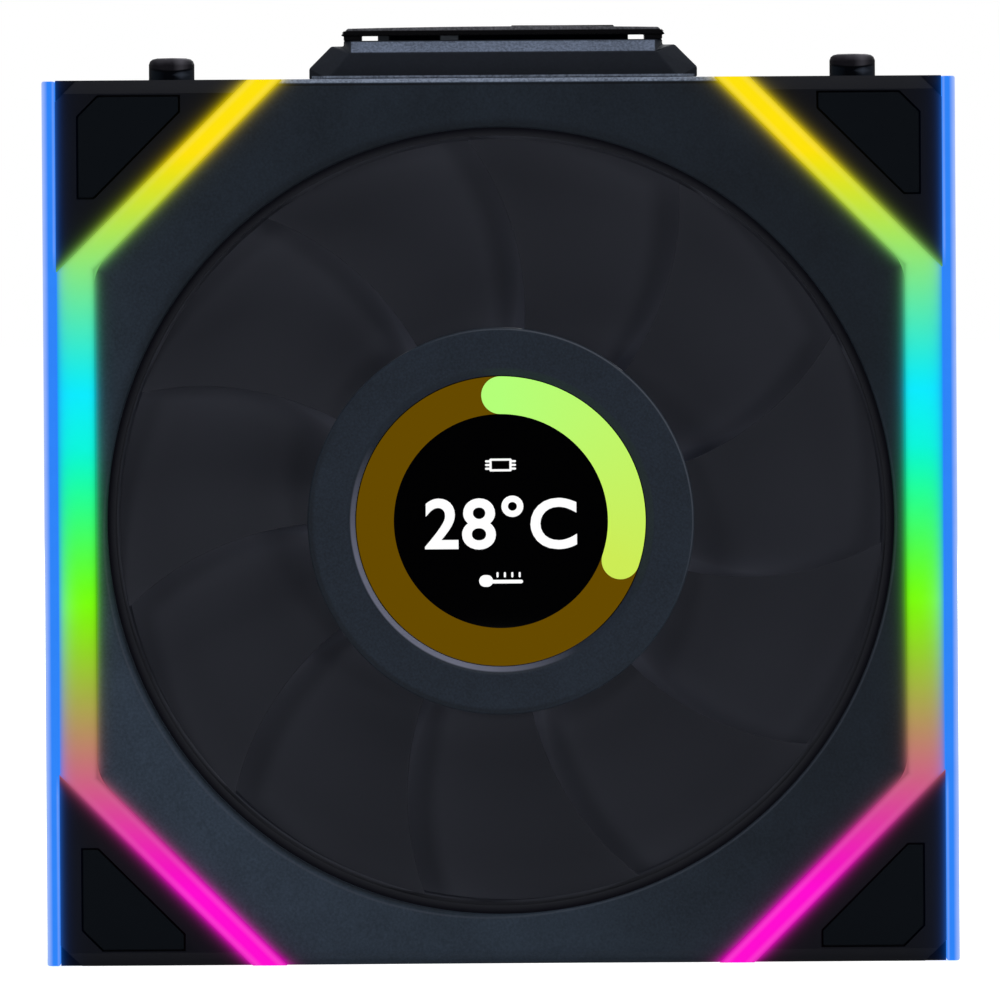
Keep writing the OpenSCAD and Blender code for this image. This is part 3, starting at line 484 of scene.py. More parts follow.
@dataclass(frozen=True)
class DirectionalShade:
    """Painted light and shade that change round the rotor axis, r being the distance from it.

    It multiplies the colour by mean + right x / r + up z / r + (twist x z - corner |x z|) 2 / r^2.
    """

    mean: float
    right: float
    up: float
    twist: float
    corner: float
    least: float = 0.3
    hub_r: float = 20.0

    def paint(self, plastic: Plastic, colour: bpy.types.NodeSocket) -> bpy.types.NodeSocket:
        """Paints light and shade into a colour's tone.

        Args:
            plastic: the material.
            colour: the colour.

        Returns:
            The colour times the factor.
        """
        x, _, z = plastic.axes()
        radius = x.hypot(z).at_least(self.hub_r)
        across = x * z * 2 / (radius * radius)
        factor = (x * self.right + z * self.up) / radius + across * self.twist
        factor = (factor - abs(across) * self.corner + self.mean).at_least(self.least)
        product = {0: colour, 1: factor}
        return plastic.node("ShaderNodeVectorMath", {"operation": "MULTIPLY"}, product).outputs[0]


@dataclass(frozen=True)
class LipLine:
    """Painted soft shade and a thin painted highlight line near the opening's edge.

    The shade lies in the upper left and the lower left, the line at the bottom: at lip_r, and shift
    further out in the lower left.
    """

    lip_r: float = 53.5
    shift: float = 0.65
    back_y: float = -26.0
    shade: Rgb = srgb(5, 6, 9)
    line_highlight: Rgb = srgb(70, 75, 86)

    def paint(self, plastic: Plastic, colour: bpy.types.NodeSocket) -> bpy.types.NodeSocket:
        """Puts the painted shade and the painted highlight line on a colour.

        Args:
            plastic: the material.
            colour: the colour beside them.

        Returns:
            The colour with both.
        """
        x, y, z = plastic.axes()
        radius = x.hypot(z)
        down = (x * 0.5 - z * 0.87) / radius
        lower_left = (x + z) * -DIAGONAL / radius
        upper_left = (z - x) * DIAGONAL / radius
        front = y.share(self.back_y, self.back_y - 0.4)
        # Painted shade at the upper left and lower left, and a painted highlight line lower down.
        shade = radius.share(self.lip_r + 1.3, self.lip_r - 0.1) * upper_left.share(0.0, 0.7) * 0.55
        low_shade = radius.share(self.lip_r + 0.5, self.lip_r) * lower_left.share(0.6, 0.9) * 0.7
        colour = plastic.blend(shade.at_least(low_shade) * front, colour, self.shade)
        place = lower_left.share(0.6, 0.9) * self.shift + self.lip_r
        strength = down.share(0.1, 0.7).at_least(lower_left.share(0.5, 0.9))
        line = radius.near(place, 0.06, 0.2) * strength * front
        return plastic.blend(line * 0.4, colour, self.line_highlight)


@dataclass(frozen=True)
class CornerLine:
    """Thin dark line of painted shade across the frame's top corners, along the corner cut's edge where |x|
    + z is corner_sum.
    """

    corner_sum: float = 117.2
    back_y: float = -15.5
    colour: Rgb = srgb(2, 3, 6)

    def paint(self, plastic: Plastic, colour: bpy.types.NodeSocket) -> bpy.types.NodeSocket:
        """Puts the line on a colour.

        Args:
            plastic: the material.
            colour: the colour beside it.

        Returns:
            The colour with the line.
        """
        x, y, z = plastic.axes()
        line = (abs(x) + z).near(self.corner_sum, 0.15, 0.45) * y.share(self.back_y, self.back_y - 0.5)
        return plastic.blend(line * 0.85, colour, self.colour)


@dataclass(frozen=True)
class Spill:
    """Light of the guides on the plastic beside them.

    The distance to a front guide is that to its nearest edge. Each part (share, length) of a light is
    share exp(-distance / length). The side guides add blue along the frame's upright edges.
    """

    front_light: tuple[tuple[float, float], ...] = ((0.6, 0.43), (0.01, 1.5))
    side_light: tuple[tuple[float, float], ...] = ((0.34, 0.36), (0.025, 1.2))
    back_y: float = -23.0
    front_y: float = -26.5
    frame_x: float = 60.0
    blue: Rgb = srgb(30, 120, 250)

    def colour(self, shader: Shader) -> bpy.types.NodeSocket:
        """The colour of the spilled light.

        Args:
            shader: the material's shader.

        Returns:
            The colour, black where no light falls.
        """
        x, y, z = shader.axes()
        side = abs(x)
        diagonal = side + abs(z)
        inside = (GUIDES.inner_x - side).at_most((GUIDES.inner_sum - diagonal) * DIAGONAL)
        outside = (diagonal - GUIDES.outer_sum) * DIAGONAL
        distance = inside.at_least(outside).at_least(0)
        front = y.share(self.back_y, self.front_y)
        amount = distance.falloff(self.front_light) * front
        colour = shader.blend(amount, (0.0, 0.0, 0.0), shader.rainbow(z))
        rim = (self.frame_x - side).at_least(0)
        corners = diagonal.share(GUIDES.outer_sum, GUIDES.outer_sum + 2)
        edge = rim.falloff(self.side_light) * corners * front
        return shader.blend(edge, colour, self.blue)


@dataclass(frozen=True)
class DuctWall:
    """The air duct's wall: matt, with painted light in the blades' tone inside, paler deeper in, and
    painted shade at its mouth.
    """

    duct_r: float = 51.0
    lip_r: float = 53.5
    mouth_start_r: float = 52.3
    mouth_r: float = 53.05
    front_y: float = -24.0
    back_y: float = -9.0
    mouth: Rgb = srgb(21, 21, 27)

    def cover(self, shader: Shader, outer: bpy.types.Node) -> None:
        """Puts a matt shader over another one between two distances from the rotor axis.

        Args:
            shader: the material's shader.
            outer: the shader of all the rest.
        """
        x, y, z = shader.axes()
        radius = x.hypot(z)
        depth = y.share(self.front_y, self.back_y)
        # Painted light: the wall takes the blades' tone, up to five times paler deeper in where less light
        # reaches, and painted shade at the mouth.
        deep = shader.blend(depth, BLADE_TONE, tuple(c * 5 for c in BLADE_TONE))
        tone = shader.blend(radius.share(self.mouth_start_r, self.mouth_r), deep, self.mouth)
        matt = shader.principled(Base_Color=tone, Roughness=1.0, Specular_IOR_Level=0.0)
        inside = radius.share(self.duct_r, self.duct_r + 0.2) * radius.share(self.lip_r, self.lip_r - 0.15)
        parts = {0: inside, 1: outer.outputs[0], 2: matt.outputs[0]}
        mix = shader.node("ShaderNodeMixShader", inputs=parts)
        shader.feed(shader.output.inputs[0], mix.outputs[0])


@dataclass(frozen=True)
class Moulded:
    """Moulded plastic or rubber with a fine eroded grain."""

    name: str
    colour: Rgb
    roughness: float = 0.55
    specular: float = 0.35
    grain_mm: float = 0.35
    relief_mm: float = 0.012
    mottle: float = 0.16
    spread: float = 0.28
    layers: tuple[Layer, ...] = ()
    spill: Spill | None = None
    wall: DuctWall | None = None

    def build(self) -> bpy.types.Material:
        """Makes the material: grain as bump, with a slight mottle in colour and roughness.

        Returns:
            The material.
        """
        plastic = Plastic(self.name, self.grain_mm)
        grain, cloud = plastic.grain - 0.5, plastic.cloud - 0.5
        mottle = grain * self.mottle + cloud * (self.mottle * 0.8) + 0.5
        colour = plastic.mottled(self.colour, mottle, self.spread)
        for layer in self.layers:
            colour = layer.paint(plastic, colour)
        inputs = {
            "Base_Color": colour,
            "Roughness": cloud * 0.14 + self.roughness,
            "Specular_IOR_Level": self.specular,
            "Normal": plastic.bump(plastic.grain, self.relief_mm),
        }
        if self.spill is not None:
            inputs["Emission_Color"] = self.spill.colour(plastic)
            inputs["Emission_Strength"] = 1.0
        outer = plastic.principled(**inputs)
        if self.wall is not None:
            self.wall.cover(plastic, outer)
        return plastic.material


@dataclass(frozen=True)
class Metal:
    """Metal with fine lines along one axis."""

    name: str
    colour: Rgb
    roughness: float = 0.35
    line_mm: float = 0.15
    stretch: Rgb = (1.0, 0.06, 1.0)
    stain_mm: float = 6.0
    relief_mm: float = 0.004

    def build(self) -> bpy.types.Material:
        """Makes the material: streaks in roughness and height.

        Returns:
            The material.
        """
        shader = Shader(self.name)
        lines = shader.noise(self.line_mm, 2.0, self.stretch)
        stain = shader.noise(self.stain_mm, 3.0)
        dark = tuple(c * 0.8 for c in self.colour)
        shader.principled(
            Base_Color=shader.blend(stain, dark, self.colour),
            Metallic=1.0,
            Roughness=(lines - 0.5) * 0.3 + self.roughness,
            Normal=shader.bump(lines, self.relief_mm),
        )
        return shader.material


@dataclass(frozen=True)
class Guide:
    """Frosted light guide of a front bar: it glows by height, and is paler along its sloped edges."""

    name: str
    pale_mm: float = 0.5
    pale_z: tuple[float, float] = (30.0, 42.0)
    beside_z: tuple[float, float] = (36.0, 34.5)
    wall_y: tuple[float, float] = (-27.4, -23.5)
    frost_mm: float = 1.6
    base: Rgb = (0.001, 0.001, 0.001)
    dim: Rgb = (0.01, 0.01, 0.01)
    blue: Rgb = srgb(28, 134, 254)

    def build(self) -> bpy.types.Material:
        """Makes the material: the paleness depends on the distance to the bar's nearest edge.

        Returns:
            The material.
        """
        shader = Shader(self.name)
        x, y, z = shader.axes()
        side, height = abs(x), abs(z)
        diagonal = side + height
        from_outer = (GUIDES.outer_x - side).at_most((GUIDES.outer_sum - diagonal) * DIAGONAL)
        from_inner = (side - GUIDES.inner_x).at_least((diagonal - GUIDES.inner_sum) * DIAGONAL)
        edge = from_outer.at_most(from_inner).at_least(0)
        line = edge.near(self.pale_mm, 0.0, 0.6) * height.share(*self.pale_z)
        frost = shader.noise(self.frost_mm, 2.0)
        depth = y.share(*self.wall_y)
        colour = shader.blend(line * 0.035 + 0.002, shader.rainbow(z), (1.0, 1.0, 1.0))
        upright = height.share(*self.beside_z)
        beside = (GUIDES.outer_x - side).at_least(0).decay(0.6) * 0.78 * upright
        colour = shader.blend(beside, colour, self.blue)
        fade = edge.decay(0.28) * 0.38 * (1 - beside)
        colour = shader.blend(fade + depth * 0.45 + (frost - 0.5) * 0.05, colour, self.dim)
        shader.principled(
            Base_Color=self.base,
            Roughness=(frost - 0.5) * 0.1 + 0.5,
            Specular_IOR_Level=0.02,
            Emission_Color=colour,
            Emission_Strength=1.0,
        )
        return shader.material


@dataclass(frozen=True)
class SideGuide:
    """Frosted light guide of a side: blue, and pale towards its outer face."""

    name: str
    front_y: tuple[float, float] = (-24.5, -27.2)
    rim_x: tuple[float, float] = (61.0, 62.0)
    line_x: float = 60.25
    line_z: tuple[float, float] = (34.0, 37.0)
    frost_mm: float = 2.4
    base: Rgb = (0.004, 0.006, 0.01)
    blue: Rgb = srgb(44, 133, 250)
    deep_blue: Rgb = srgb(10, 60, 190)
    pale: Rgb = srgb(232, 240, 252)

    def build(self) -> bpy.types.Material:
        """Makes the material: paleness grows with x, a thin paler line follows the frame.

        Returns:
            The material.
        """
        shader = Shader(self.name)
        x, y, z = shader.axes()
        side = abs(x)
        front = y.share(*self.front_y)
        rim = side.share(*self.rim_x) * front
        line = side.near(self.line_x, 0.0, 0.25) * front * abs(z).share(*self.line_z)
        frost = shader.noise(self.frost_mm, 3.0)
        band = (frost - 0.5) * 0.12 + 0.05
        blue = shader.blend(rim * 0.62 + line * 0.16, self.blue, self.pale)
        shader.principled(
            Base_Color=self.base,
            Roughness=(frost - 0.5) * 0.1 + 0.5,
            Specular_IOR_Level=0.03,
            Emission_Color=shader.blend(band, blue, self.deep_blue),
            Emission_Strength=1.0,
        )
        return shader.material


@dataclass(frozen=True)
class Screen:
    """Lit part of the display: one colour, or a run between two colours round the axis."""

    name: str
    colour: Rgb
    end_colour: Rgb | None = None
    sweep: float = 1.0

    def build(self) -> bpy.types.Material:
        """Makes the material: the run follows the angle from the top, atan2(x, z).

        Returns:
            The material.
        """
        shader = Shader(self.name)
        x, _, z = shader.axes()
        turn = x.maths("ARCTAN2", z).share(0.0, self.sweep)
        shader.principled(
            Base_Color=(0.0, 0.0, 0.0),
            Roughness=0.5,
            Specular_IOR_Level=0.0,
            Emission_Color=shader.blend(turn, self.colour, self.end_colour or self.colour),
            Emission_Strength=1.0,
        )
        return shader.material


@dataclass(frozen=True)
class Glass:
    """Black cover glass."""

    name: str
    colour: Rgb = (0.0006, 0.0006, 0.0008)
    haze_mm: float = 9.0

    def build(self) -> bpy.types.Material:
        """Makes the material: a clean surface with a trace of haze.

        Returns:
            The material.
        """
        shader = Shader(self.name)
        haze = shader.noise(self.haze_mm, 3.0)
        shader.principled(
            Base_Color=self.colour, Roughness=(haze - 0.5) * 0.03 + 0.05, Specular_IOR_Level=0.12
        )
        return shader.material


@dataclass(frozen=True)
class Board:
    """Printed board: solder mask with traces beneath."""

    name: str
    colour: Rgb
    trace: Rgb
    turns: tuple[float, float] = (2.1, 1.7)

    def build(self) -> bpy.types.Material:
        """Makes the material: traces are thin bands where sin(k x) sin(m z) crosses zero.

        Returns:
            The material.
        """
        shader = Shader(self.name)
        x, _, z = shader.axes()
        weave = abs((x * self.turns[0]).sine() * (z * self.turns[1]).sine())
        traces = 1 - weave.share(0.06, 0.12)
        shader.principled(
            Base_Color=shader.blend(traces * 0.7, self.colour, self.trace),
            Roughness=shader.noise(3.0) * 0.1 + 0.3,
            Normal=shader.bump(traces, 0.02),
        )
        return shader.material


@dataclass(frozen=True)
class Rim:
    """Satin ring round the screen, with painted highlights on its lip and edge and painted shade at its
    outer edge.
    """

    name: str
    colour: Rgb
    lip_r: float = 20.4
    edge_r: float = 26.0
    grain_mm: float = 0.3
    cloud_mm: float = 5.0
    shade: Rgb = (0.003, 0.004, 0.006)
    lip_highlight: Rgb = srgb(118, 121, 140)
    edge_highlight: Rgb = srgb(74, 79, 89)

    def build(self) -> bpy.types.Material:
        """Makes the material: painted highlights and shade follow the direction (x + z) / r, 1 being
        towards the top right.

        Returns:
            The material.
        """
        shader = Shader(self.name)
        x, _, z = shader.axes()
        radius = x.hypot(z)
        towards = (x + z) * DIAGONAL / radius
        grain = shader.noise(self.grain_mm, 3.0)
        cloud = shader.noise(self.cloud_mm, 3.0)
        mottle = (grain - 0.5) * 1.7 + (cloud - 0.5) * 0.6 + 0.5
        colour = shader.mottled(self.colour, mottle, 0.3)
        # Painted shade at the outer edge towards the lower left.
        shade = towards.share(0.1, -0.7) * radius.share(self.edge_r - 0.75, self.edge_r - 0.35)
        colour = shader.blend(shade * 0.5, colour, self.shade)
        # Painted highlights: on the lip towards the lower left, on the edge towards the top right.
        lip = towards.share(-0.25, -0.85) * radius.share(self.lip_r + 0.1, self.lip_r - 0.1)
        colour = shader.blend(lip, colour, self.lip_highlight)
        line = towards.share(0.3, 0.95) * radius.near(self.edge_r, 0.04, 0.16)
        shader.principled(
            Base_Color=shader.blend(line, colour, self.edge_highlight),
            Roughness=(cloud - 0.5) * 0.12 + 0.5,
            Specular_IOR_Level=0.1,
            Normal=shader.bump(grain, 0.008),
        )
        return shader.material


@dataclass(frozen=True)
class Blades:
    """Satin plastic of the impeller, paler where less light reaches it, so that it looks like one disc."""

    name: str
    colour: Rgb
    front_y: float = -23.5
    back_y: float = -10.0
    hub_shade_r: float = 34.0
    hub_r: float = 26.0
    tip_shade_r: float = 45.0
    tip_r: float = 51.7
    lift: float = 1.8
    power: float = -0.55
    hub_gain: float = 0.6
    tip_gain: float = 0.42
    grain_mm: float = 0.5

    def build(self) -> bpy.types.Material:
        """Makes the material: the colour times lift (1 - d) ^ power (1 + hub_gain n^2 + tip_gain f^2).

        d is the share of the depth, n the nearness to the hub and f the nearness to the tip, all 0 to 1.

        Returns:
            The material.
        """
        shader = Shader(self.name)
        x, y, z = shader.axes()
        radius = x.hypot(z)
        depth = y.share(self.front_y, self.back_y)
        near = radius.share(self.hub_shade_r, self.hub_r)
        far = radius.share(self.tip_shade_r, self.tip_r)
        grain = shader.noise(self.grain_mm, 3.0)
        rise = (1 - depth).at_least(0.06).maths("POWER", self.power) * self.lift
        rise = rise * (near * near * self.hub_gain + far * far * self.tip_gain + 1) + (grain - 0.5) * 0.1
        product = {0: self.colour, 3: rise}
        shader.principled(
            Base_Color=shader.node("ShaderNodeVectorMath", {"operation": "SCALE"}, product).outputs[0],
            Roughness=(grain - 0.5) * 0.1 + 0.85,
            Specular_IOR_Level=0.03,
        )
        return shader.material


@dataclass(frozen=True)
class Peg:
    """Domed rubber peg: a cap over a curved groove and a dark body, with painted highlights and painted
    shade.

    The groove lies at z = groove_z + 0.4 u^2, u being the distance from the peg's middle over its radius.
    """

    name: str
    centre_x: float
    cap: Rgb = srgb(28, 27, 32)
    radius: float = 3.1
    groove_z: float = 61.25
    spot_z: float = 60.7
    bright_u: float = 0.45

    def body(self, shader: Shader, u: Value, z: Value) -> bpy.types.NodeSocket:
        """The part under the groove: painted paler to the right, darker in the middle, with a painted
        highlight spot.

        Args:
            shader: the material's shader.
            u: the distance from the peg's middle over its radius.
            z: the height in mm.

        Returns:
            The colour.
        """
        colour = shader.blend(u.share(-0.6, 0.9), srgb(22, 28, 36), srgb(37, 42, 51))
        colour = shader.blend(u.near(-0.1, 0.2, 0.65), colour, srgb(1, 3, 9))
        spot = 1 - (abs(u - self.bright_u) * 1.6 + abs(z - self.spot_z)).share(0.1, 0.7)
        return shader.blend(spot, colour, srgb(66, 72, 84))

    def build(self) -> bpy.types.Material:
        """Makes the material.

        Returns:
            The material.
        """
        shader = Shader(self.name)
        x, _, z = shader.axes()
        u = (x - self.centre_x) * (1 / self.radius)
        above = z - u * u * 0.4 - self.groove_z
        grain = shader.noise(0.35, 3.0)
        cloud = shader.noise(1.4, 2.0)
        # Painted highlight: a pale band on the cap's right, and a paler top.
        cap_highlight = u.near(self.bright_u, 0.05, 0.4) * 0.7 + (cloud - 0.5) * 0.5
        cap_highlight = cap_highlight + above.share(0.9, 1.5) * 0.45
        cap = shader.blend(cap_highlight.at_least(0).at_most(1), self.cap, srgb(86, 84, 91))
        colour = shader.blend(above.share(-0.05, 0.05), self.body(shader, u, z), cap)
        groove = above.near(-0.08, 0.06, 0.22)
        colour = shader.blend(groove * 0.85, colour, srgb(2, 3, 7))
        # Painted shade: darker at the peg's sides.
        edge = abs(u).share(0.9, 0.99) * above.share(0.9, 0.5)
        shader.principled(
            Base_Color=shader.blend(edge * 0.8, colour, srgb(3, 3, 5)),
            Roughness=(grain - 0.5) * 0.15 + 0.62,
            Specular_IOR_Level=0.03,
            Normal=shader.bump(grain, 0.006),
        )
        return shader.material


@dataclass(frozen=True)
class SlitBlock:
    """Black moulding in the slit of the link rail, with paler stretches on its front.

    Each stretch is (start, end, share): its limits along x in mm and how pale it is.
    """

    name: str
    colour: Rgb
    pale: Rgb
    stretches: tuple[tuple[float, float, float], ...]
    front_y: float = -17.0
    soft: float = 0.1

    def build(self) -> bpy.types.Material:
        """Makes the material: each stretch is a band along x with soft ends.

        Returns:
            The material.
        """
        shader = Shader(self.name)
        x, y, _ = shader.axes()
        grain = shader.noise(0.5, 3.0)
        front = y.share(self.front_y + 0.3, self.front_y + 0.1)
        colour = self.colour
        for start, end, share in self.stretches:
            band = x.share(start - self.soft, start + self.soft) * x.share(end + self.soft, end - self.soft)
            colour = shader.blend(band * front * share, colour, self.pale)
        shader.principled(
            Base_Color=colour,
            Roughness=(grain - 0.5) * 0.1 + 0.6,
            Specular_IOR_Level=0.0,
        )
        return shader.material


@dataclass(frozen=True)
class Winding:
    """Enamelled wire wound on a pole."""

    name: str
    colour: Rgb = (0.55, 0.19, 0.05)
    wire_mm: float = 0.3
    relief_mm: float = 0.08

    def build(self) -> bpy.types.Material:
        """Makes the material: turns are ridges of |sin| across the distance from the axis.

        Returns:
            The material.
        """
        shader = Shader(self.name)
        x, _, z = shader.axes()
        ridge = abs((x.hypot(z) * (math.pi / self.wire_mm)).sine())
        dark = tuple(c * 0.35 for c in self.colour)
        shader.principled(
            Base_Color=shader.blend(ridge, dark, self.colour),
            Metallic=0.6,
            Roughness=shader.noise(1.0) * 0.15 + 0.25,
            Normal=shader.bump(ridge, self.relief_mm),
        )
        return shader.material


LINK_X = 0.7
# Colour of the painted highlight along the top edges of the cover and the link's foot.
EDGE_HIGHLIGHT = srgb(137, 148, 169)
FRAME_BLACK = Moulded(
    "frame_black", srgb(10, 12, 19), 0.6, 0.06, layers=(CornerLine(),), spill=Spill(), wall=DuctWall()
)
# Cover: painted light and shade round the rotor axis, painted shade and a painted highlight line at the
# opening, and a painted highlight on the top edge.
COVER_GRAPHITE = Moulded(
    "cover_graphite", srgb(33, 41, 51), 0.55, 0.08, mottle=1.6, spill=Spill(),
    layers=(
        DirectionalShade(mean=1.26, right=-0.53, up=-0.4, twist=0.21, corner=0.2),
        LipLine(),
        EdgeHighlight(59.4, 60.2, -25.0, EDGE_HIGHLIGHT, line=59.2),
    ),
)
# Link: painted highlights along its foot and its upper bevel.
LINK_GRAPHITE = Moulded(
    "link_graphite", srgb(28, 32, 40), 0.55, 0.08, mottle=0.8,
    layers=(
        EdgeHighlight(59.8, 60.35, -21.0, EDGE_HIGHLIGHT, centre_x=LINK_X, half_w=26.0),
        EdgeHighlight(63.5, 64.95, -22.0, srgb(110, 121, 143), centre_x=LINK_X, half_w=20.65),
    ),
)
# Plate: painted highlight along its top edge.
PLATE_BLACK = Moulded(
    "plate_black", srgb(4, 4, 6), 0.5, 0.04,
    layers=(EdgeHighlight(66.45, 67.2, -22.0, srgb(104, 104, 110), centre_x=LINK_X, half_w=22.0),),
)
SLIT_BLACK = SlitBlock(
    "slit_black", srgb(2, 4, 8), srgb(96, 102, 110), ((-16.3, -14.8, 0.45), (-7.8, -5.4, 1.0))
)

TRACK_AMBER = Screen("screen_amber", srgb(102, 74, 0))
SCREEN_WHITE = Screen("screen_white", (1.0, 1.0, 1.0))

SLOT_FINISH: dict[str, Finish] = {
    finish.name: finish
    for finish in (
        FRAME_BLACK,
        COVER_GRAPHITE,
        Metal("screw_steel", (0.2, 0.205, 0.22), 0.38),
        Guide("guide_rainbow"),
        SideGuide("guide_blue"),
        Board("board_white", (0.8, 0.82, 0.83), (0.62, 0.65, 0.67)),
        Board("board_green", (0.012, 0.1, 0.05), (0.03, 0.2, 0.1)),
        Moulded("led_resin", (0.86, 0.78, 0.4), 0.2, 0.5, grain_mm=0.6, relief_mm=0.01),
        Moulded("pad_rubber", srgb(11, 15, 20), 0.82, 0.04, grain_mm=0.25, relief_mm=0.01),
        Moulded("link_black", srgb(10, 11, 14), 0.5, 0.05),
        Metal("contact_gold", (0.86, 0.6, 0.2), 0.22),
        Moulded("peg_black", srgb(12, 13, 18), 0.45, 0.12, grain_mm=0.3, relief_mm=0.008),
        Blades("blade_black", srgb(32, 33, 38)),
        Metal("yoke_steel", (0.42, 0.43, 0.45), 0.32),
        Moulded("magnet_dark", srgb(44, 44, 47), 0.7, 0.3, grain_mm=0.3, relief_mm=0.02),
        Metal("bearing_brass", (0.62, 0.42, 0.17), 0.4),
        Metal("axle_steel", (0.56, 0.57, 0.59), 0.25),
        Moulded("washer_plastic", (0.72, 0.69, 0.6), 0.5, 0.4, grain_mm=0.5, relief_mm=0.006),
        Metal("core_steel", (0.36, 0.37, 0.39), 0.4, line_mm=0.35, stretch=(0.1, 1.0, 0.1)),
        Moulded("bobbin_plastic", (0.74, 0.71, 0.62), 0.5, 0.4, grain_mm=0.5, relief_mm=0.006),
        Winding("coil_copper"),
        Moulded("ribbon_black", srgb(38, 38, 42), 0.45, 0.4, grain_mm=0.8, relief_mm=0.02),
        Rim("bezel_graphite", srgb(33, 41, 52)),
        Moulded("panel_dark", srgb(30, 30, 33), 0.3, 0.5, grain_mm=1.0, relief_mm=0.0),
        Glass("lens_black"),
        Moulded("flex_amber", (0.42, 0.18, 0.03), 0.3, 0.5, grain_mm=0.6, relief_mm=0.006),
    )
}


class Wardrobe:
    """Makes each material once and hands it out by the record's slot or by its finish."""

    def __init__(self) -> None:
        """Starts with no material made."""
        self.made: dict[str, bpy.types.Material] = {}

    def get(self, finish: Finish) -> bpy.types.Material:
        """The material of a finish.

        Args:
            finish: the finish.

        Returns:
            The material, made when it is first asked for.
        """
        if finish.name not in self.made:
            self.made[finish.name] = finish.build()
        return self.made[finish.name]

    def slot(self, slot: str) -> bpy.types.Material:
        """The material of a record slot."""
        return self.get(SLOT_FINISH[slot])


WARDROBE = Wardrobe()
NODE_SLOT = {row["node"]: row["material_slot"] for row in frame["record"]["subparts"]}
NODE_BODY = {
    node: body for body, nodes in frame["record"]["behaviour"]["bodies"].items() for node in nodes
}


# ------------------------------------------------------------------ surfaces


SURFACE_MERGE_MM = 0.0005
CAD_MERGE_MM = 0.002
FLAT_DEGREES = 0.05


@dataclass(frozen=True)
class Patch:
    """A stretch of surface: points in mm and faces of four corners."""

    points: np.ndarray
    quads: np.ndarray

    @staticmethod
    def grid(points: np.ndarray, wrap_rows: bool = False, wrap_columns: bool = False) -> Patch:
        """Covers a grid of points with quads.

        Args:
            points: array of rows x columns x 3.
            wrap_rows: joins the last row to the first.
            wrap_columns: joins the last column to the first.

        Returns:
            The patch.
        """
        rows, columns = points.shape[:2]
        row = np.arange(rows if wrap_rows else rows - 1)[:, None]
        column = np.arange(columns if wrap_columns else columns - 1)[None, :]
        next_row, next_column = (row + 1) % rows, (column + 1) % columns
        corners = [
            row * columns + column, row * columns + next_column,
            next_row * columns + next_column, next_row * columns + column,
        ]
        quads = np.stack(np.broadcast_arrays(*corners), axis=-1).reshape(-1, 4)
        return Patch(points.reshape(-1, 3), quads)

    @staticmethod
    def cap(loop: np.ndarray) -> Patch:
        """Closes a loop whose second half runs back beside its first half.

        Args:
            loop: array of an even number of points.

        Returns:
            The patch.
        """
        count = len(loop)
        first = np.arange(count // 2 - 1)
        quads = np.stack([first, first + 1, count - 2 - first, count - 1 - first], axis=-1)
        return Patch(loop, quads)


def turned(profile: np.ndarray, closed: bool, steps: int = 192) -> Patch:
    """Turns a profile about the rotor axis.

    Points are (r cos a, y, r sin a) for each profile point (r, y) and each angle a.

    Args:
        profile: array of (radius, y).
        closed: whether the profile is a loop.
        steps: number of angles.

    Returns:
        The patch.
    """
    angle = np.linspace(0, 2 * np.pi, steps, endpoint=False)[:, None]
    radius, y = profile[None, :, 0], profile[None, :, 1]
    points = np.stack([radius * np.cos(angle), y + 0 * angle, radius * np.sin(angle)], axis=-1)
    return Patch.grid(points, wrap_rows=True, wrap_columns=closed)


def filleted(
    corners: Iterable[tuple[float, float, float]], closed: bool = True, steps: int = 5
) -> np.ndarray:
    """Rounds the corners of a profile.

    Each corner is cut at distance d on both sides, and the points between follow the curve
    (1 - t)^2 a + 2 t (1 - t) corner + t^2 b.

    Args:
        corners: (radius, y, d) of each corner.
        closed: whether the profile is a loop; an open one keeps its end points.
        steps: points on each round.

    Returns:
        Array of (radius, y).
    """
    table = np.array(list(corners), float)
    points, cut = table[:, :2], table[:, 2]
    before, after = np.roll(points, 1, axis=0), np.roll(points, -1, axis=0)
    t = np.linspace(0, 1, steps)[:, None]
    rows = []
    for index, corner in enumerate(points):
        end = not closed and index in (0, len(points) - 1)
        if end or cut[index] == 0:
            rows.append(corner[None, :])
            continue
        to_before, to_after = before[index] - corner, after[index] - corner
        a = corner + to_before / np.linalg.norm(to_before) * cut[index]
        b = corner + to_after / np.linalg.norm(to_after) * cut[index]
        rows.append((1 - t) ** 2 * a + 2 * t * (1 - t) * corner + t**2 * b)
    return np.concatenate(rows)


def stroke(path: np.ndarray, width: float, front: float, back: float, cap_steps: int = 10) -> list[Patch]:
    """A flat bar of constant width with round ends, along a path in the XZ plane.

    Its half width at distance s past an end is sqrt(w^2 - s^2).

    Args:
        path: array of (x, z) in mm.
        width: width of the bar.
        front: y of its front face.
        back: y of its rear face.
        cap_steps: rows on each round end.

    Returns:
        The closed bar's patches.
    """
    half = width / 2
    run = np.gradient(path, axis=0)
    run /= np.linalg.norm(run, axis=1)[:, None]
    turn = np.linspace(0.5, 0.02, cap_steps) * np.pi
    reach = half * np.sin(turn)[:, None]
    spread = np.maximum(half * np.cos(turn), 0.01)
    centre = np.concatenate([path[:1] - run[:1] * reach, path, path[-1:] + run[-1:] * reach[::-1]])
    along = np.concatenate([np.repeat(run[:1], cap_steps, 0), run, np.repeat(run[-1:], cap_steps, 0)])
    halves = np.concatenate([spread, np.full(len(path), half), spread[::-1]])
    across = np.stack([-along[:, 1], along[:, 0]], axis=-1) * halves[:, None]
    left, right = centre + across, centre - across
    corners = ((left, front), (right, front), (right, back), (left, back))
    edges = [np.stack([edge[:, 0], np.full(len(edge), y), edge[:, 1]], axis=-1) for edge, y in corners]
    loop = np.stack(edges, axis=1)
    return [Patch.grid(loop, wrap_columns=True), Patch.cap(loop[0]), Patch.cap(loop[-1])]


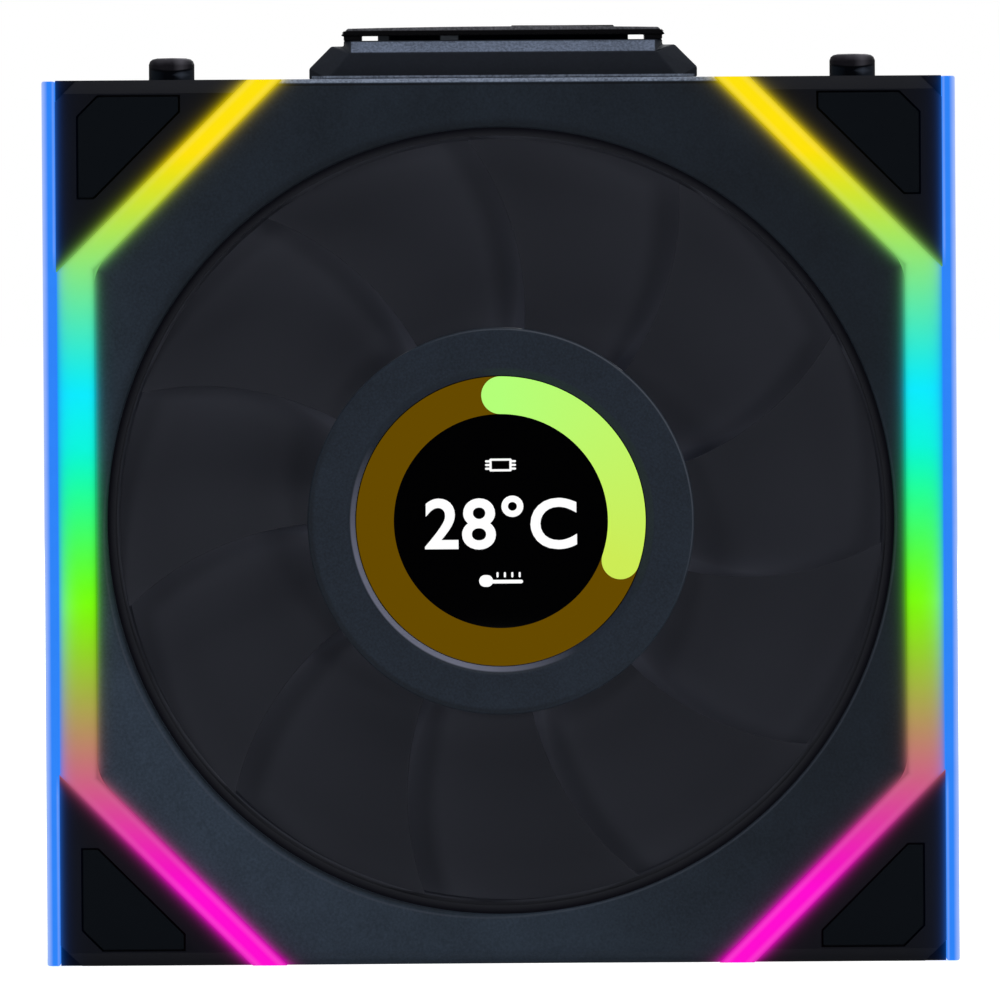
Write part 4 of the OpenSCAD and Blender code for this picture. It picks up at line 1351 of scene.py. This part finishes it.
def stations(*runs: tuple[float, float, int]) -> np.ndarray:
    """Evenly spaced values of several runs (start, end, count), one after another."""
    return np.concatenate([np.linspace(*run) for run in runs])


def round_fall(gap: np.ndarray, radius: float) -> np.ndarray:
    """How far a rounded edge falls back: radius (1 - sqrt(1 - u^2)), with u = 1 - gap / radius from 0 to 1.

    Args:
        gap: distance from the edge.
        radius: radius of the round.

    Returns:
        The fall at each distance.
    """
    u = np.clip(1 - gap / radius, 0, 1)
    return radius * (1 - np.sqrt(1 - u**2))


def smooth(mesh: bpy.types.Mesh, degrees: float = 32.0) -> None:
    """Shades a mesh smooth, but keeps edges sharper than an angle."""
    mesh.shade_smooth()
    mesh.set_sharp_from_angle(angle=math.radians(degrees))


def make_piece(
    name: str,
    patches: Iterable[Patch],
    finish: Finish,
    body: str,
    stands_for: Iterable[str] = (),
) -> bpy.types.Object:
    """Makes one object of several patches and attaches it to its body.

    Args:
        name: the piece's name.
        patches: its surface.
        finish: its finish.
        body: the CAD body that it moves with.
        stands_for: CAD nodes that it replaces.

    Returns:
        The object.
    """
    patches = list(patches)
    starts = np.cumsum([0] + [len(p.points) for p in patches[:-1]])
    points = np.concatenate([p.points for p in patches]) * MM
    quads = np.concatenate([p.quads + start for p, start in zip(patches, starts)])
    mesh = bpy.data.meshes.new(name)
    mesh.from_pydata(points.tolist(), [], quads.tolist())
    work = bmesh.new()
    work.from_mesh(mesh)
    bmesh.ops.remove_doubles(work, verts=work.verts, dist=SURFACE_MERGE_MM * MM)
    bmesh.ops.recalc_face_normals(work, faces=work.faces)
    work.to_mesh(mesh)
    work.free()
    return adopt(name, mesh, finish, body, stands_for)


def adopt(
    name: str, mesh: bpy.types.Mesh, finish: Finish, body: str, stands_for: Iterable[str]
) -> bpy.types.Object:
    """Makes one object of a finished mesh and attaches it to its body.

    Args:
        name: the piece's name.
        mesh: its mesh.
        finish: its finish.
        body: the CAD body that it moves with.
        stands_for: CAD nodes that it replaces.

    Returns:
        The object.
    """
    smooth(mesh)
    piece = bpy.data.objects.new(name, mesh)
    bpy.context.scene.collection.objects.link(piece)
    mesh.materials.clear()
    mesh.materials.append(WARDROBE.get(finish))
    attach(piece, body)
    for node in stands_for:
        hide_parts(node)
    LOG.info("%s: %d faces", name, len(mesh.polygons))
    return piece


@dataclass(frozen=True)
class Skin:
    """A CAD node with its edges rounded: a merged copy of its mesh that replaces it."""

    node: str
    round_mm: float = 0.2
    segments: int = 2
    angle: float = 34.0
    finish: Finish | None = None

    def build(self) -> bpy.types.Object:
        """Makes the skin.

        Returns:
            The object, named after its node.
        """
        slot = NODE_SLOT[self.node]
        mesh = frame["nodes"][self.node].data.copy()
        work = bmesh.new()
        work.from_mesh(mesh)
        bmesh.ops.remove_doubles(work, verts=work.verts, dist=CAD_MERGE_MM * MM)
        limit = math.radians(FLAT_DEGREES)
        bmesh.ops.dissolve_limit(work, angle_limit=limit, verts=work.verts, edges=work.edges)
        work.to_mesh(mesh)
        work.free()
        finish = self.finish or SLOT_FINISH[slot]
        piece = adopt(self.node + "_skin", mesh, finish, NODE_BODY[self.node], [self.node])
        if self.round_mm > 0:
            bevel = piece.modifiers.new("rounded_edges", "BEVEL")
            bevel.width = self.round_mm * MM
            bevel.segments = self.segments
            bevel.limit_method = "ANGLE"
            bevel.angle_limit = math.radians(self.angle)
            bevel.use_clamp_overlap = False
            bevel.harden_normals = True
        return piece


# ------------------------------------------------------------------ sub-assemblies


@dataclass
class FrontFace:
    """The octagonal cover, the light guides and the frame round them."""

    face_y: float = -27.6
    front_y: float = -28.0
    cover_back_y: float = -25.4
    guide_back_y: float = -23.0
    opening_r: float = 53.3
    dish: float = 0.8
    rim_r: float = 64.8
    top_round: float = 0.75
    lip_round: float = 0.45
    bottom_bevel: float = 1.75
    side_round: float = 0.25
    guide_round: float = 0.35
    guide_gap: float = 0.05
    post_r: float = 58.23
    post_bore_r: float = 1.03
    post_outer_r: float = 1.9
    post_front_y: float = -25.6
    post_back_y: float = -20.7
    end: float = 60.0

    def outline(self) -> np.ndarray:
        """Outline of the cover, anticlockwise from the right: the guides' inner edge and two flat ends.

        Returns:
            Array of (x, z).
        """
        rise = stations((31, 38.5, 16), (39, self.end, 22))
        z = np.concatenate([-rise[::-1], np.linspace(-30, 30, 61), rise])
        x = GUIDES.inner(z) - self.guide_gap
        top_x = np.linspace(x[-1], -x[-1], 62)[1:-1]
        top = np.stack([top_x, np.full(60, self.end)], axis=-1)
        right = np.stack([x, z], axis=-1)
        return np.concatenate([right, top, -right, -top])

    def cover(self) -> bpy.types.Object:
        """The cover: from the opening's wall over the dish to the outline and down its side.

        A point is inner + s (outer - inner); y = face + dish (1 - (r - opening) / (rim - opening)),
        plus a round at the opening, the top and the sloped sides of depth d (1 - sqrt(1 - u^2)), u being
        1 at the edge, and a bevel at the bottom.

        Returns:
            The object.
        """
        outer = self.outline()
        inner = outer / np.linalg.norm(outer, axis=1)[:, None] * self.opening_r
        span = np.linalg.norm(outer - inner, axis=1)[:, None]
        reach = stations((0, 0.06, 7), (0.1, 0.84, 14), (0.86, 1, 15))[None, :]
        flat = inner[:, None, :] + reach[..., None] * (outer - inner)[:, None, :]
        radius = np.linalg.norm(flat, axis=-1)
        fall = np.clip((self.rim_r - radius) / (self.rim_r - self.opening_r), 0, 1)
        y = self.face_y + self.dish * fall + round_fall(reach * span, self.lip_round)
        edge = np.abs(self.end - np.abs(flat[..., 1]))
        top = flat[..., 1] > 0
        y = y + np.where(top, round_fall(edge, self.top_round), np.clip(self.bottom_bevel - edge, 0, None))
        sloped = np.abs(outer[:, 1:2]) < self.end - 0.01
        y = y + np.where(sloped, round_fall((1 - reach) * span, self.side_round), 0)
        face = np.stack([flat[..., 0], y, flat[..., 1]], axis=-1)
        back_y = np.full((len(outer), 1), self.cover_back_y)
        wall_out = np.concatenate([outer[:, :1], back_y, outer[:, 1:]], axis=1)[:, None, :]
        wall_in = np.concatenate([inner[:, :1], back_y, inner[:, 1:]], axis=1)[:, None, :]
        sheet = np.concatenate([wall_in, face, wall_out], axis=1)
        return make_piece(
            "cover_plate", [Patch.grid(sheet, wrap_rows=True, wrap_columns=True)], COVER_GRAPHITE, "frame",
            ["front_cover"],
        )

    def cover_posts(self) -> bpy.types.Object:
        """The four screw posts behind the cover.

        Returns:
            The object.
        """
        bore, outer, front, back = self.post_bore_r, self.post_outer_r, self.post_front_y, self.post_back_y
        profile = filleted([(bore, front, 0), (outer, front, 0), (outer, back, 0.2), (bore, back, 0)])
        post = turned(profile, True, 32)
        place = self.post_r * DIAGONAL
        shifts = [(place * sx, 0, place * sz) for sx in (-1, 1) for sz in (-1, 1)]
        patches = [Patch(post.points + np.array(shift), post.quads) for shift in shifts]
        return make_piece("cover_posts", patches, COVER_GRAPHITE, "frame")

    def guide(self, side: int) -> bpy.types.Object:
        """One front guide.

        x = outer(z) + t (inner(z) - outer(z)); the front face falls by a round of radius guide_round
        towards both edges.

        Args:
            side: 1 for right, -1 for left.

        Returns:
            The object.
        """
        rise = np.linspace(31, GUIDES.end, 48)
        z = np.concatenate([-rise[::-1], np.linspace(-30, 30, 41), rise])
        outer, inner = GUIDES.outer(z)[:, None], GUIDES.inner(z)[:, None]
        width = outer - inner
        t_edge = (1 - np.cos(np.linspace(0, 1, 6) * np.pi / 2))[None, :] * self.guide_round / width
        t_edge = np.concatenate([t_edge, 1 - t_edge[:, ::-1]], axis=1)
        gap = np.minimum(t_edge, 1 - t_edge) * width
        x = outer - t_edge * width
        y = self.front_y + round_fall(gap, self.guide_round)
        face = np.stack([x, y, z[:, None] + 0 * x], axis=-1)
        back = np.full((len(z), 1), self.guide_back_y)
        wall_out = np.stack([outer, back, z[:, None]], axis=-1)
        wall_in = np.stack([inner, back, z[:, None]], axis=-1)
        sheet = np.concatenate([wall_out, face, wall_in], axis=1)
        sheet[..., 0] *= side
        name = "right" if side > 0 else "left"
        return make_piece(
            "guide_front_" + name,
            [Patch.grid(sheet, wrap_columns=True), Patch.cap(sheet[0]), Patch.cap(sheet[-1])],
            SLOT_FINISH["guide_rainbow"], "frame", ["front_light_guide_" + name],
        )

    def build(self) -> None:
        """Makes the cover, the guides and the rounded frame parts."""
        self.cover()
        self.cover_posts()
        for side in (-1, 1):
            self.guide(side)
        for node in ("side_light_guide_left", "side_light_guide_right"):
            Skin(node, 0.3, segments=3).build()
        Skin("front_frame", 0.0).build()
        for node in frame["nodes"]:
            if node.startswith("front_pad_"):
                Skin(node, 0.15).build()


@dataclass
class Rotor:
    """The impeller: hub cup and blades as smooth surfaces of the same formula as the CAD part."""

    blades: int = 11
    hub_r: float = 25.2
    tip_r: float = 51.7
    hub_front: float = -22.6
    hub_back: float = -7.2
    lead_back: float = -22.0
    trail_back: float = -9.1
    edge_t: float = 0.6
    mid_t: float = 1.9
    overlap: float = 1.5
    sweep: float = 12.0
    camber: float = 0.1
    root: float = 0.8
    lead_run: float = 6.0
    lead_rise: float = 1.5
    trail_rise: float = 2.5
    bezel_r: float = 26.2
    bore_r: float = 6.03
    boss_r: float = 9.0
    boss_back: float = -17.3
    recess_front: float = -20.9
    recess_r: float = 19.6
    cup_r: float = 21.2
    columns: int = 64
    rows: int = 30

    def blade(self) -> Patch:
        """One blade as a grid over the radius r and the way t round its section.

        c = (1 - cos t) / 2 runs from the leading to the trailing edge and back. The angle is
        sweep s^1.5 - pitch (c - 0.5), with s the share of the span, y runs from the leading to the
        trailing edge and is bent by camber sin(pi c), and the half thickness is
        (edge + (mid - edge) sin(pi c^0.8)) / 2 times a sign-keeping power of sin t that rounds the edges.

        Returns:
            The patch, without its ends.
        """
        t = np.linspace(0, 2 * np.pi, self.columns, endpoint=False)[None, :]
        r = np.linspace(self.hub_r - self.root, self.tip_r, self.rows)[:, None]
        c = (1 - np.cos(t)) / 2
        span = np.clip((r - self.hub_r) / (self.tip_r - self.hub_r), 0, 1)
        rise = np.clip((r - self.bezel_r - self.root) / self.lead_run, 0, 1)
        lead = self.lead_back - self.lead_rise * np.sin(np.pi / 2 * rise)
        trail = self.trail_back - self.trail_rise * span
        pitch = 360 / self.blades + self.overlap
        angle = np.radians(self.sweep * span**1.5 - pitch * (c - 0.5))
        mid = lead + (trail - lead) * (c + self.camber * np.sin(np.pi * c))
        thick = self.edge_t + (self.mid_t - self.edge_t) * np.sin(np.pi * c**0.8)
        bulge = np.sign(np.sin(t)) * np.abs(np.sin(t)) ** 0.4
        y = mid - bulge * thick / 2
        points = np.stack([r * np.cos(angle), y, r * np.sin(angle)], axis=-1)
        return Patch.grid(points, wrap_columns=True)

    def blade_ends(self, blade: Patch) -> list[Patch]:
        """Caps of a blade's root and tip."""
        loops = blade.points.reshape(-1, self.columns, 3)
        return [Patch.cap(loops[row]) for row in (0, -1)]

    def build(self) -> bpy.types.Object:
        """Makes the impeller.

        Returns:
            The object.
        """
        one = self.blade()
        patches = []
        for index in range(self.blades):
            turn = Matrix.Rotation(-2 * math.pi / self.blades * index, 3, "Y")
            copy = Patch(one.points @ np.array(turn).T, one.quads)
            patches += [copy, *self.blade_ends(copy)]
        cup = filleted([
            (self.bore_r, self.hub_front, 0.2), (self.hub_r, self.hub_front, 0.8),
            (self.hub_r, self.hub_back, 0.3), (self.cup_r, self.hub_back, 0.2),
            (self.cup_r, self.boss_back, 0), (self.recess_r, self.boss_back, 0),
            (self.recess_r, self.recess_front, 0.4), (self.boss_r, self.recess_front, 0.4),
            (self.boss_r, self.boss_back, 0), (self.bore_r, self.boss_back, 0),
        ])
        patches.append(turned(cup, True))
        return make_piece(
            "impeller_skin", patches, SLOT_FINISH["blade_black"], "rotor", ["impeller"]
        )


@dataclass
class Display:
    """The round display: bezel, glass and what it shows."""

    front_y: float = -28.0
    back_y: float = -23.2
    bezel_r: float = 26.2
    bezel_wall: float = 0.6
    screen_r: float = 19.7
    lip: float = 1.1
    lens_y: float = -26.88
    lens_t: float = 0.5
    lens_r: float = 21.03
    ring_out: float = 19.6
    ring_in: float = 14.5
    sweep: float = math.radians(108.6)
    ink_t: float = 0.03
    reading_w: float = 20.6
    reading_h: float = 7.3
    reading_z: float = -0.2
    chip_z: float = 7.6
    chip_half_w: float = 1.35
    chip_half_h: float = 0.72
    chip_pin: float = 0.6
    chip_line: float = 0.3
    thermometer_z: float = -8.1

    def bezel(self) -> bpy.types.Object:
        """The bezel, turned from its section with rounded edges.

        Returns:
            The object.
        """
        inner_r, lip_y = self.bezel_r - self.bezel_wall, self.front_y + self.lip
        section = filleted([
            (self.screen_r, lip_y, 0.05), (self.screen_r + self.lip, self.front_y, 0.18),
            (self.bezel_r, self.front_y, 0.35), (self.bezel_r, self.back_y, 0.2),
            (inner_r, self.back_y, 0), (inner_r, lip_y, 0),
        ])
        return make_piece(
            "bezel", [turned(section, True, 256)], SLOT_FINISH["bezel_graphite"], "frame",
            ["display_bezel"],
        )

    def lens(self) -> bpy.types.Object:
        """The black glass, a disc with a rounded rim.

        Returns:
            The object.
        """
        back = self.lens_y + self.lens_t
        rim = [(self.lens_r, self.lens_y, 0.1), (self.lens_r, back, 0.1)]
        section = filleted([(0, self.lens_y, 0), *rim, (0, back, 0)], False)
        return make_piece(
            "lens_glass", [turned(section, False, 128)], SLOT_FINISH["lens_black"], "frame",
            ["display_lens"],
        )

    def layer(self, level: int) -> tuple[float, float]:
        """Front and back of a lit layer on the glass; level 0 is the lowest."""
        back = self.lens_y - level * self.ink_t
        return back - self.ink_t, back

    def track(self) -> bpy.types.Object:
        """The dim ring.

        Returns:
            The object.
        """
        front, back = self.layer(0)
        inner, outer = self.ring_in, self.ring_out
        section = np.array([(inner, front), (outer, front), (outer, back), (inner, back)])
        return make_piece("display_track", [turned(section, True, 192)], TRACK_AMBER, "frame")

    def progress(self) -> bpy.types.Object:
        """The lit arc on the ring, clockwise from the top with round ends.

        Returns:
            The object.
        """
        angle = np.linspace(0, self.sweep, 90)
        middle = (self.ring_in + self.ring_out) / 2
        path = np.stack([middle * np.sin(angle), middle * np.cos(angle)], axis=-1)
        finish = Screen("screen_green", srgb(180, 255, 120), srgb(205, 236, 86), self.sweep)
        bar = stroke(path, self.ring_out - self.ring_in, *self.layer(1), 16)
        return make_piece("display_progress", bar, finish, "frame")

    def reading(self) -> bpy.types.Object:
        """The number in the middle, set to the width and height that the display gives it.

        Returns:
            The object.
        """
        curve = bpy.data.curves.new("display_reading", "FONT")
        curve.body = "28°C"
        curve.offset = 0.02
        curve.space_character = 1.05
        curve.extrude = 0.001
        curve.resolution_u = 6
        text = bpy.data.objects.new("display_reading_text", curve)
        bpy.context.scene.collection.objects.link(text)
        bpy.context.view_layer.update()
        mesh = bpy.data.meshes.new_from_object(text.evaluated_get(bpy.context.evaluated_depsgraph_get()))
        bpy.data.objects.remove(text)
        mesh.name = "display_reading"
        flat = np.zeros(len(mesh.vertices) * 3, np.float32)
        mesh.vertices.foreach_get("co", flat)
        points = flat.reshape(-1, 3)
        share = (points - points.min(0)) / np.ptp(points, axis=0) - 0.5
        front, back = self.layer(1)
        x = share[:, 0] * self.reading_w
        z = share[:, 1] * self.reading_h + self.reading_z
        y = np.where(points[:, 2] > 0, front, back)
        mesh.vertices.foreach_set("co", (np.stack([x, y, z], axis=-1) * MM).astype(np.float32).ravel())
        mesh.update()
        return adopt("display_reading", mesh, SCREEN_WHITE, "frame", [])

    def icon(
        self, name: str, bars: list[tuple[np.ndarray, float]], centre_z: float, cap_steps: int
    ) -> bpy.types.Object:
        """A small pictogram of bars with round ends.

        Args:
            name: its name.
            bars: path and width of each bar.
            centre_z: height of its middle.
            cap_steps: rows on each round end.

        Returns:
            The object.
        """
        patches = []
        for path, width in bars:
            patches += stroke(path + (0, centre_z), width, *self.layer(1), cap_steps)
        return make_piece(name, patches, SCREEN_WHITE, "frame")

    def icon_chip(self) -> bpy.types.Object:
        """A small chip: a square outline with pins on two sides.

        Returns:
            The object.
        """
        wide, high = self.chip_half_w, self.chip_half_h
        corners = np.array([(-wide, -high), (wide, -high), (wide, high), (-wide, high), (-wide, -high)])
        paths = [np.linspace(corners[i], corners[i + 1], 4) for i in range(4)]
        for z in (-0.5, 0.0, 0.5):
            for side in (-1, 1):
                start, end = side * (wide + 0.1), side * (wide + self.chip_pin)
                paths.append(np.linspace((start, z), (end, z), 3))
        bars = [(path, self.chip_line) for path in paths]
        return self.icon("display_icon_chip", bars, self.chip_z, 5)

    def icon_thermometer(self) -> bpy.types.Object:
        """A small thermometer that lies on its side: bulb, column and four marks.

        Returns:
            The object.
        """
        bulb = (np.linspace((-2.2, 0), (-1.9, 0), 3), 1.6)
        column = (np.linspace((-1.8, -0.1), (2.7, -0.1), 5), 0.5)
        marks = [(np.linspace((x, 0.6), (x, 1.05), 3), 0.28) for x in (-0.5, 0.5, 1.5, 2.5)]
        return self.icon("display_icon_thermometer", [bulb, column, *marks], self.thermometer_z, 8)

    def build(self) -> None:
        """Makes the display's visible pieces."""
        self.bezel()
        self.lens()
        self.track()
        self.progress()
        self.reading()
        self.icon_chip()
        self.icon_thermometer()


@dataclass
class Back:
    """The rear frame with its pads, screws and motor cover: nodes and the rounds of their edges in mm."""

    rounds: tuple[tuple[str, float], ...] = (
        ("rear_frame", 0.2),
        ("rear_pads", 0.15),
        ("motor_cover", 0.12),
        ("cover_screws", 0.06),
    )

    def build(self) -> None:
        """Rounds the edges of what shows at the back."""
        for node, round_mm in self.rounds:
            Skin(node, round_mm).build()


@dataclass
class Link:
    """The link rail, its contacts and the pegs on top of the frame, with the middle of each peg in mm."""

    pegs: tuple[tuple[str, float], ...] = (("left", -44.4), ("right", 48.2))

    def build(self) -> None:
        """Rounds the edges of the rail, the plate and the contact block, and dresses the pegs."""
        Skin("link_body", 0.2, segments=3, finish=LINK_GRAPHITE).build()
        Skin("link_plate", 0.12, finish=PLATE_BLACK).build()
        Skin("contact_block", 0.06, finish=SLIT_BLACK).build()
        for side, centre_x in self.pegs:
            Skin("locating_peg_" + side, 0.0, finish=Peg("peg_black_" + side, centre_x)).build()


def dress_nodes() -> None:
    """Gives every CAD node the material of its slot; a node that is replaced keeps it unseen."""
    for name, node in frame["nodes"].items():
        node.data.materials.clear()
        node.data.materials.append(WARDROBE.slot(NODE_SLOT[name]))
        if not node.hide_render:
            smooth(node.data)
    LOG.info("dressed %d CAD nodes", len(frame["nodes"]))


# ------------------------------------------------------------------ studio


@dataclass
class Studio:
    """Floor, world, lamps and camera."""

    distance: float = 2.4
    view_width_mm: float = 135.35
    elevation: float = 1.3
    roll: float = -0.37
    centre_x_mm: float = -0.1
    face_y_mm: float = -28.0
    centre_z_mm: float = 2.88
    sky_colour: Rgb = (0.93, 0.97, 1.0)
    sky_strength: float = 0.3
    floor_light: float = 0.78
    floor_reach: float = 6.0

    def camera(self) -> None:
        """A long lens almost straight in front, a little above the middle."""
        data = bpy.data.cameras.new("camera")
        data.sensor_width = 36.0
        data.lens = data.sensor_width * self.distance / (self.view_width_mm * MM)
        data.clip_end = 50.0
        camera = bpy.data.objects.new("camera", data)
        bpy.context.scene.collection.objects.link(camera)
        tilt = math.radians(self.elevation)
        back = Vector((0.0, -math.cos(tilt), math.sin(tilt)))
        target = Vector((self.centre_x_mm * MM, self.face_y_mm * MM, self.centre_z_mm * MM))
        turn = back.to_track_quat("Z", "Y").to_matrix() @ Matrix.Rotation(math.radians(self.roll), 3, "Z")
        camera.matrix_world = Matrix.Translation(target + back * self.distance) @ turn.to_4x4()
        bpy.context.scene.camera = camera

    def lamp(self, name: str, place: Rgb, size: tuple[float, float], watts: float, colour: Rgb) -> None:
        """A soft box that faces the fan.

        Args:
            name: its name.
            place: its centre, in metres.
            size: width and height, in metres.
            watts: its power.
            colour: its colour.
        """
        data = bpy.data.lights.new(name, "AREA")
        data.shape = "RECTANGLE"
        data.size, data.size_y = size
        data.energy = watts
        data.color = colour
        lamp = bpy.data.objects.new(name, data)
        lamp.location = place
        lamp.rotation_euler = (-Vector(place)).to_track_quat("-Z", "Y").to_euler()
        bpy.context.scene.collection.objects.link(lamp)

    def world(self) -> None:
        """White where it is seen or mirrored, and a soft grey light elsewhere."""
        world = bpy.data.worlds.new("studio")
        bpy.context.scene.world = world
        world.use_nodes = True
        sky = Nodes(world.node_tree)
        soft = sky.node("ShaderNodeBackground", inputs={0: self.sky_colour, 1: self.sky_strength})
        white = sky.node("ShaderNodeBackground", inputs={0: (1.0, 1.0, 1.0)})
        parts = {0: sky.seen(), 1: soft.outputs[0], 2: white.outputs[0]}
        mix = sky.node("ShaderNodeMixShader", inputs=parts)
        sky.node("ShaderNodeOutputWorld", inputs={0: mix.outputs[0]})

    def card(
        self, name: str, corners: list[Rgb], material: bpy.types.Material, seen: bool
    ) -> bpy.types.Object:
        """A flat card of the studio.

        Args:
            name: its name.
            corners: its four corners, in metres.
            material: its material.
            seen: whether the camera sees it.

        Returns:
            The object.
        """
        mesh = bpy.data.meshes.new(name)
        mesh.from_pydata(corners, [], [(0, 1, 2, 3)])
        mesh.materials.append(material)
        card = bpy.data.objects.new(name, mesh)
        card.visible_camera = seen
        bpy.context.scene.collection.objects.link(card)
        return card

    def floor(self) -> None:
        """A white floor that keeps the fan's soft shadow."""
        shader = Shader("studio_floor")
        matt = shader.node("ShaderNodeBsdfDiffuse", inputs={"Color": (0.9, 0.9, 0.9)})
        light = {"Color": (1.0, 1.0, 1.0), "Strength": shader.seen() * self.floor_light}
        white = shader.node("ShaderNodeEmission", inputs=light)
        lit = shader.node("ShaderNodeAddShader", inputs={0: matt.outputs[0], 1: white.outputs[0]})
        shader.feed(shader.output.inputs[0], lit.outputs[0])
        low, reach = CAD_BOX[0][2], self.floor_reach
        self.card(
            "studio_floor",
            [(-reach, -reach, low), (reach, -reach, low), (reach, reach, low), (-reach, reach, low)],
            shader.material, True,
        )

    def flag(self) -> None:
        """Dark cards that only mirrors see, so that the front doesn't mirror the white room."""
        shader = Shader("studio_flag")
        shader.principled(Base_Color=(0.02, 0.02, 0.02), Roughness=1.0, Specular_IOR_Level=0.0)
        wide, high, near, far, low = 3.0, 1.6, -0.35, -2.6, CAD_BOX[0][2] + 0.002
        upright = [(-wide, far, low), (wide, far, low), (wide, far, high), (-wide, far, high)]
        lying = [(-wide, near, low), (wide, near, low), (wide, far, low), (-wide, far, low)]
        for name, corners in (("studio_flag_upright", upright), ("studio_flag_lying", lying)):
            card = self.card(name, corners, shader.material, False)
            card.visible_diffuse = False
            card.visible_shadow = False
            card.visible_transmission = False

    def build(self) -> None:
        """Sets the studio up."""
        self.camera()
        self.world()
        self.floor()
        self.flag()
        for name, side in (("lamp_front_left", -1), ("lamp_front_right", 1)):
            self.lamp(name, (side * 0.75, -2.2, 0.12), (0.5, 0.5), 6.0, (1.0, 1.0, 1.0))
        self.lamp("lamp_top", (0.1, -0.2, 0.9), (1.0, 0.6), 4.0, (1.0, 0.99, 0.97))
        self.lamp("lamp_back", (0.4, 1.9, 0.7), (0.9, 0.9), 18.0, (0.97, 0.98, 1.0))
        bpy.context.scene.view_settings.view_transform = "Standard"
        LOG.info("studio ready")


def main() -> None:
    """Builds everything in order."""
    logging.basicConfig(level=logging.INFO, format="%(name)s: %(message)s")
    Studio().build()
    FrontFace().build()
    Rotor().build()
    Display().build()
    Back().build()
    Link().build()
    dress_nodes()


if __name__ == "__main__":
    main()
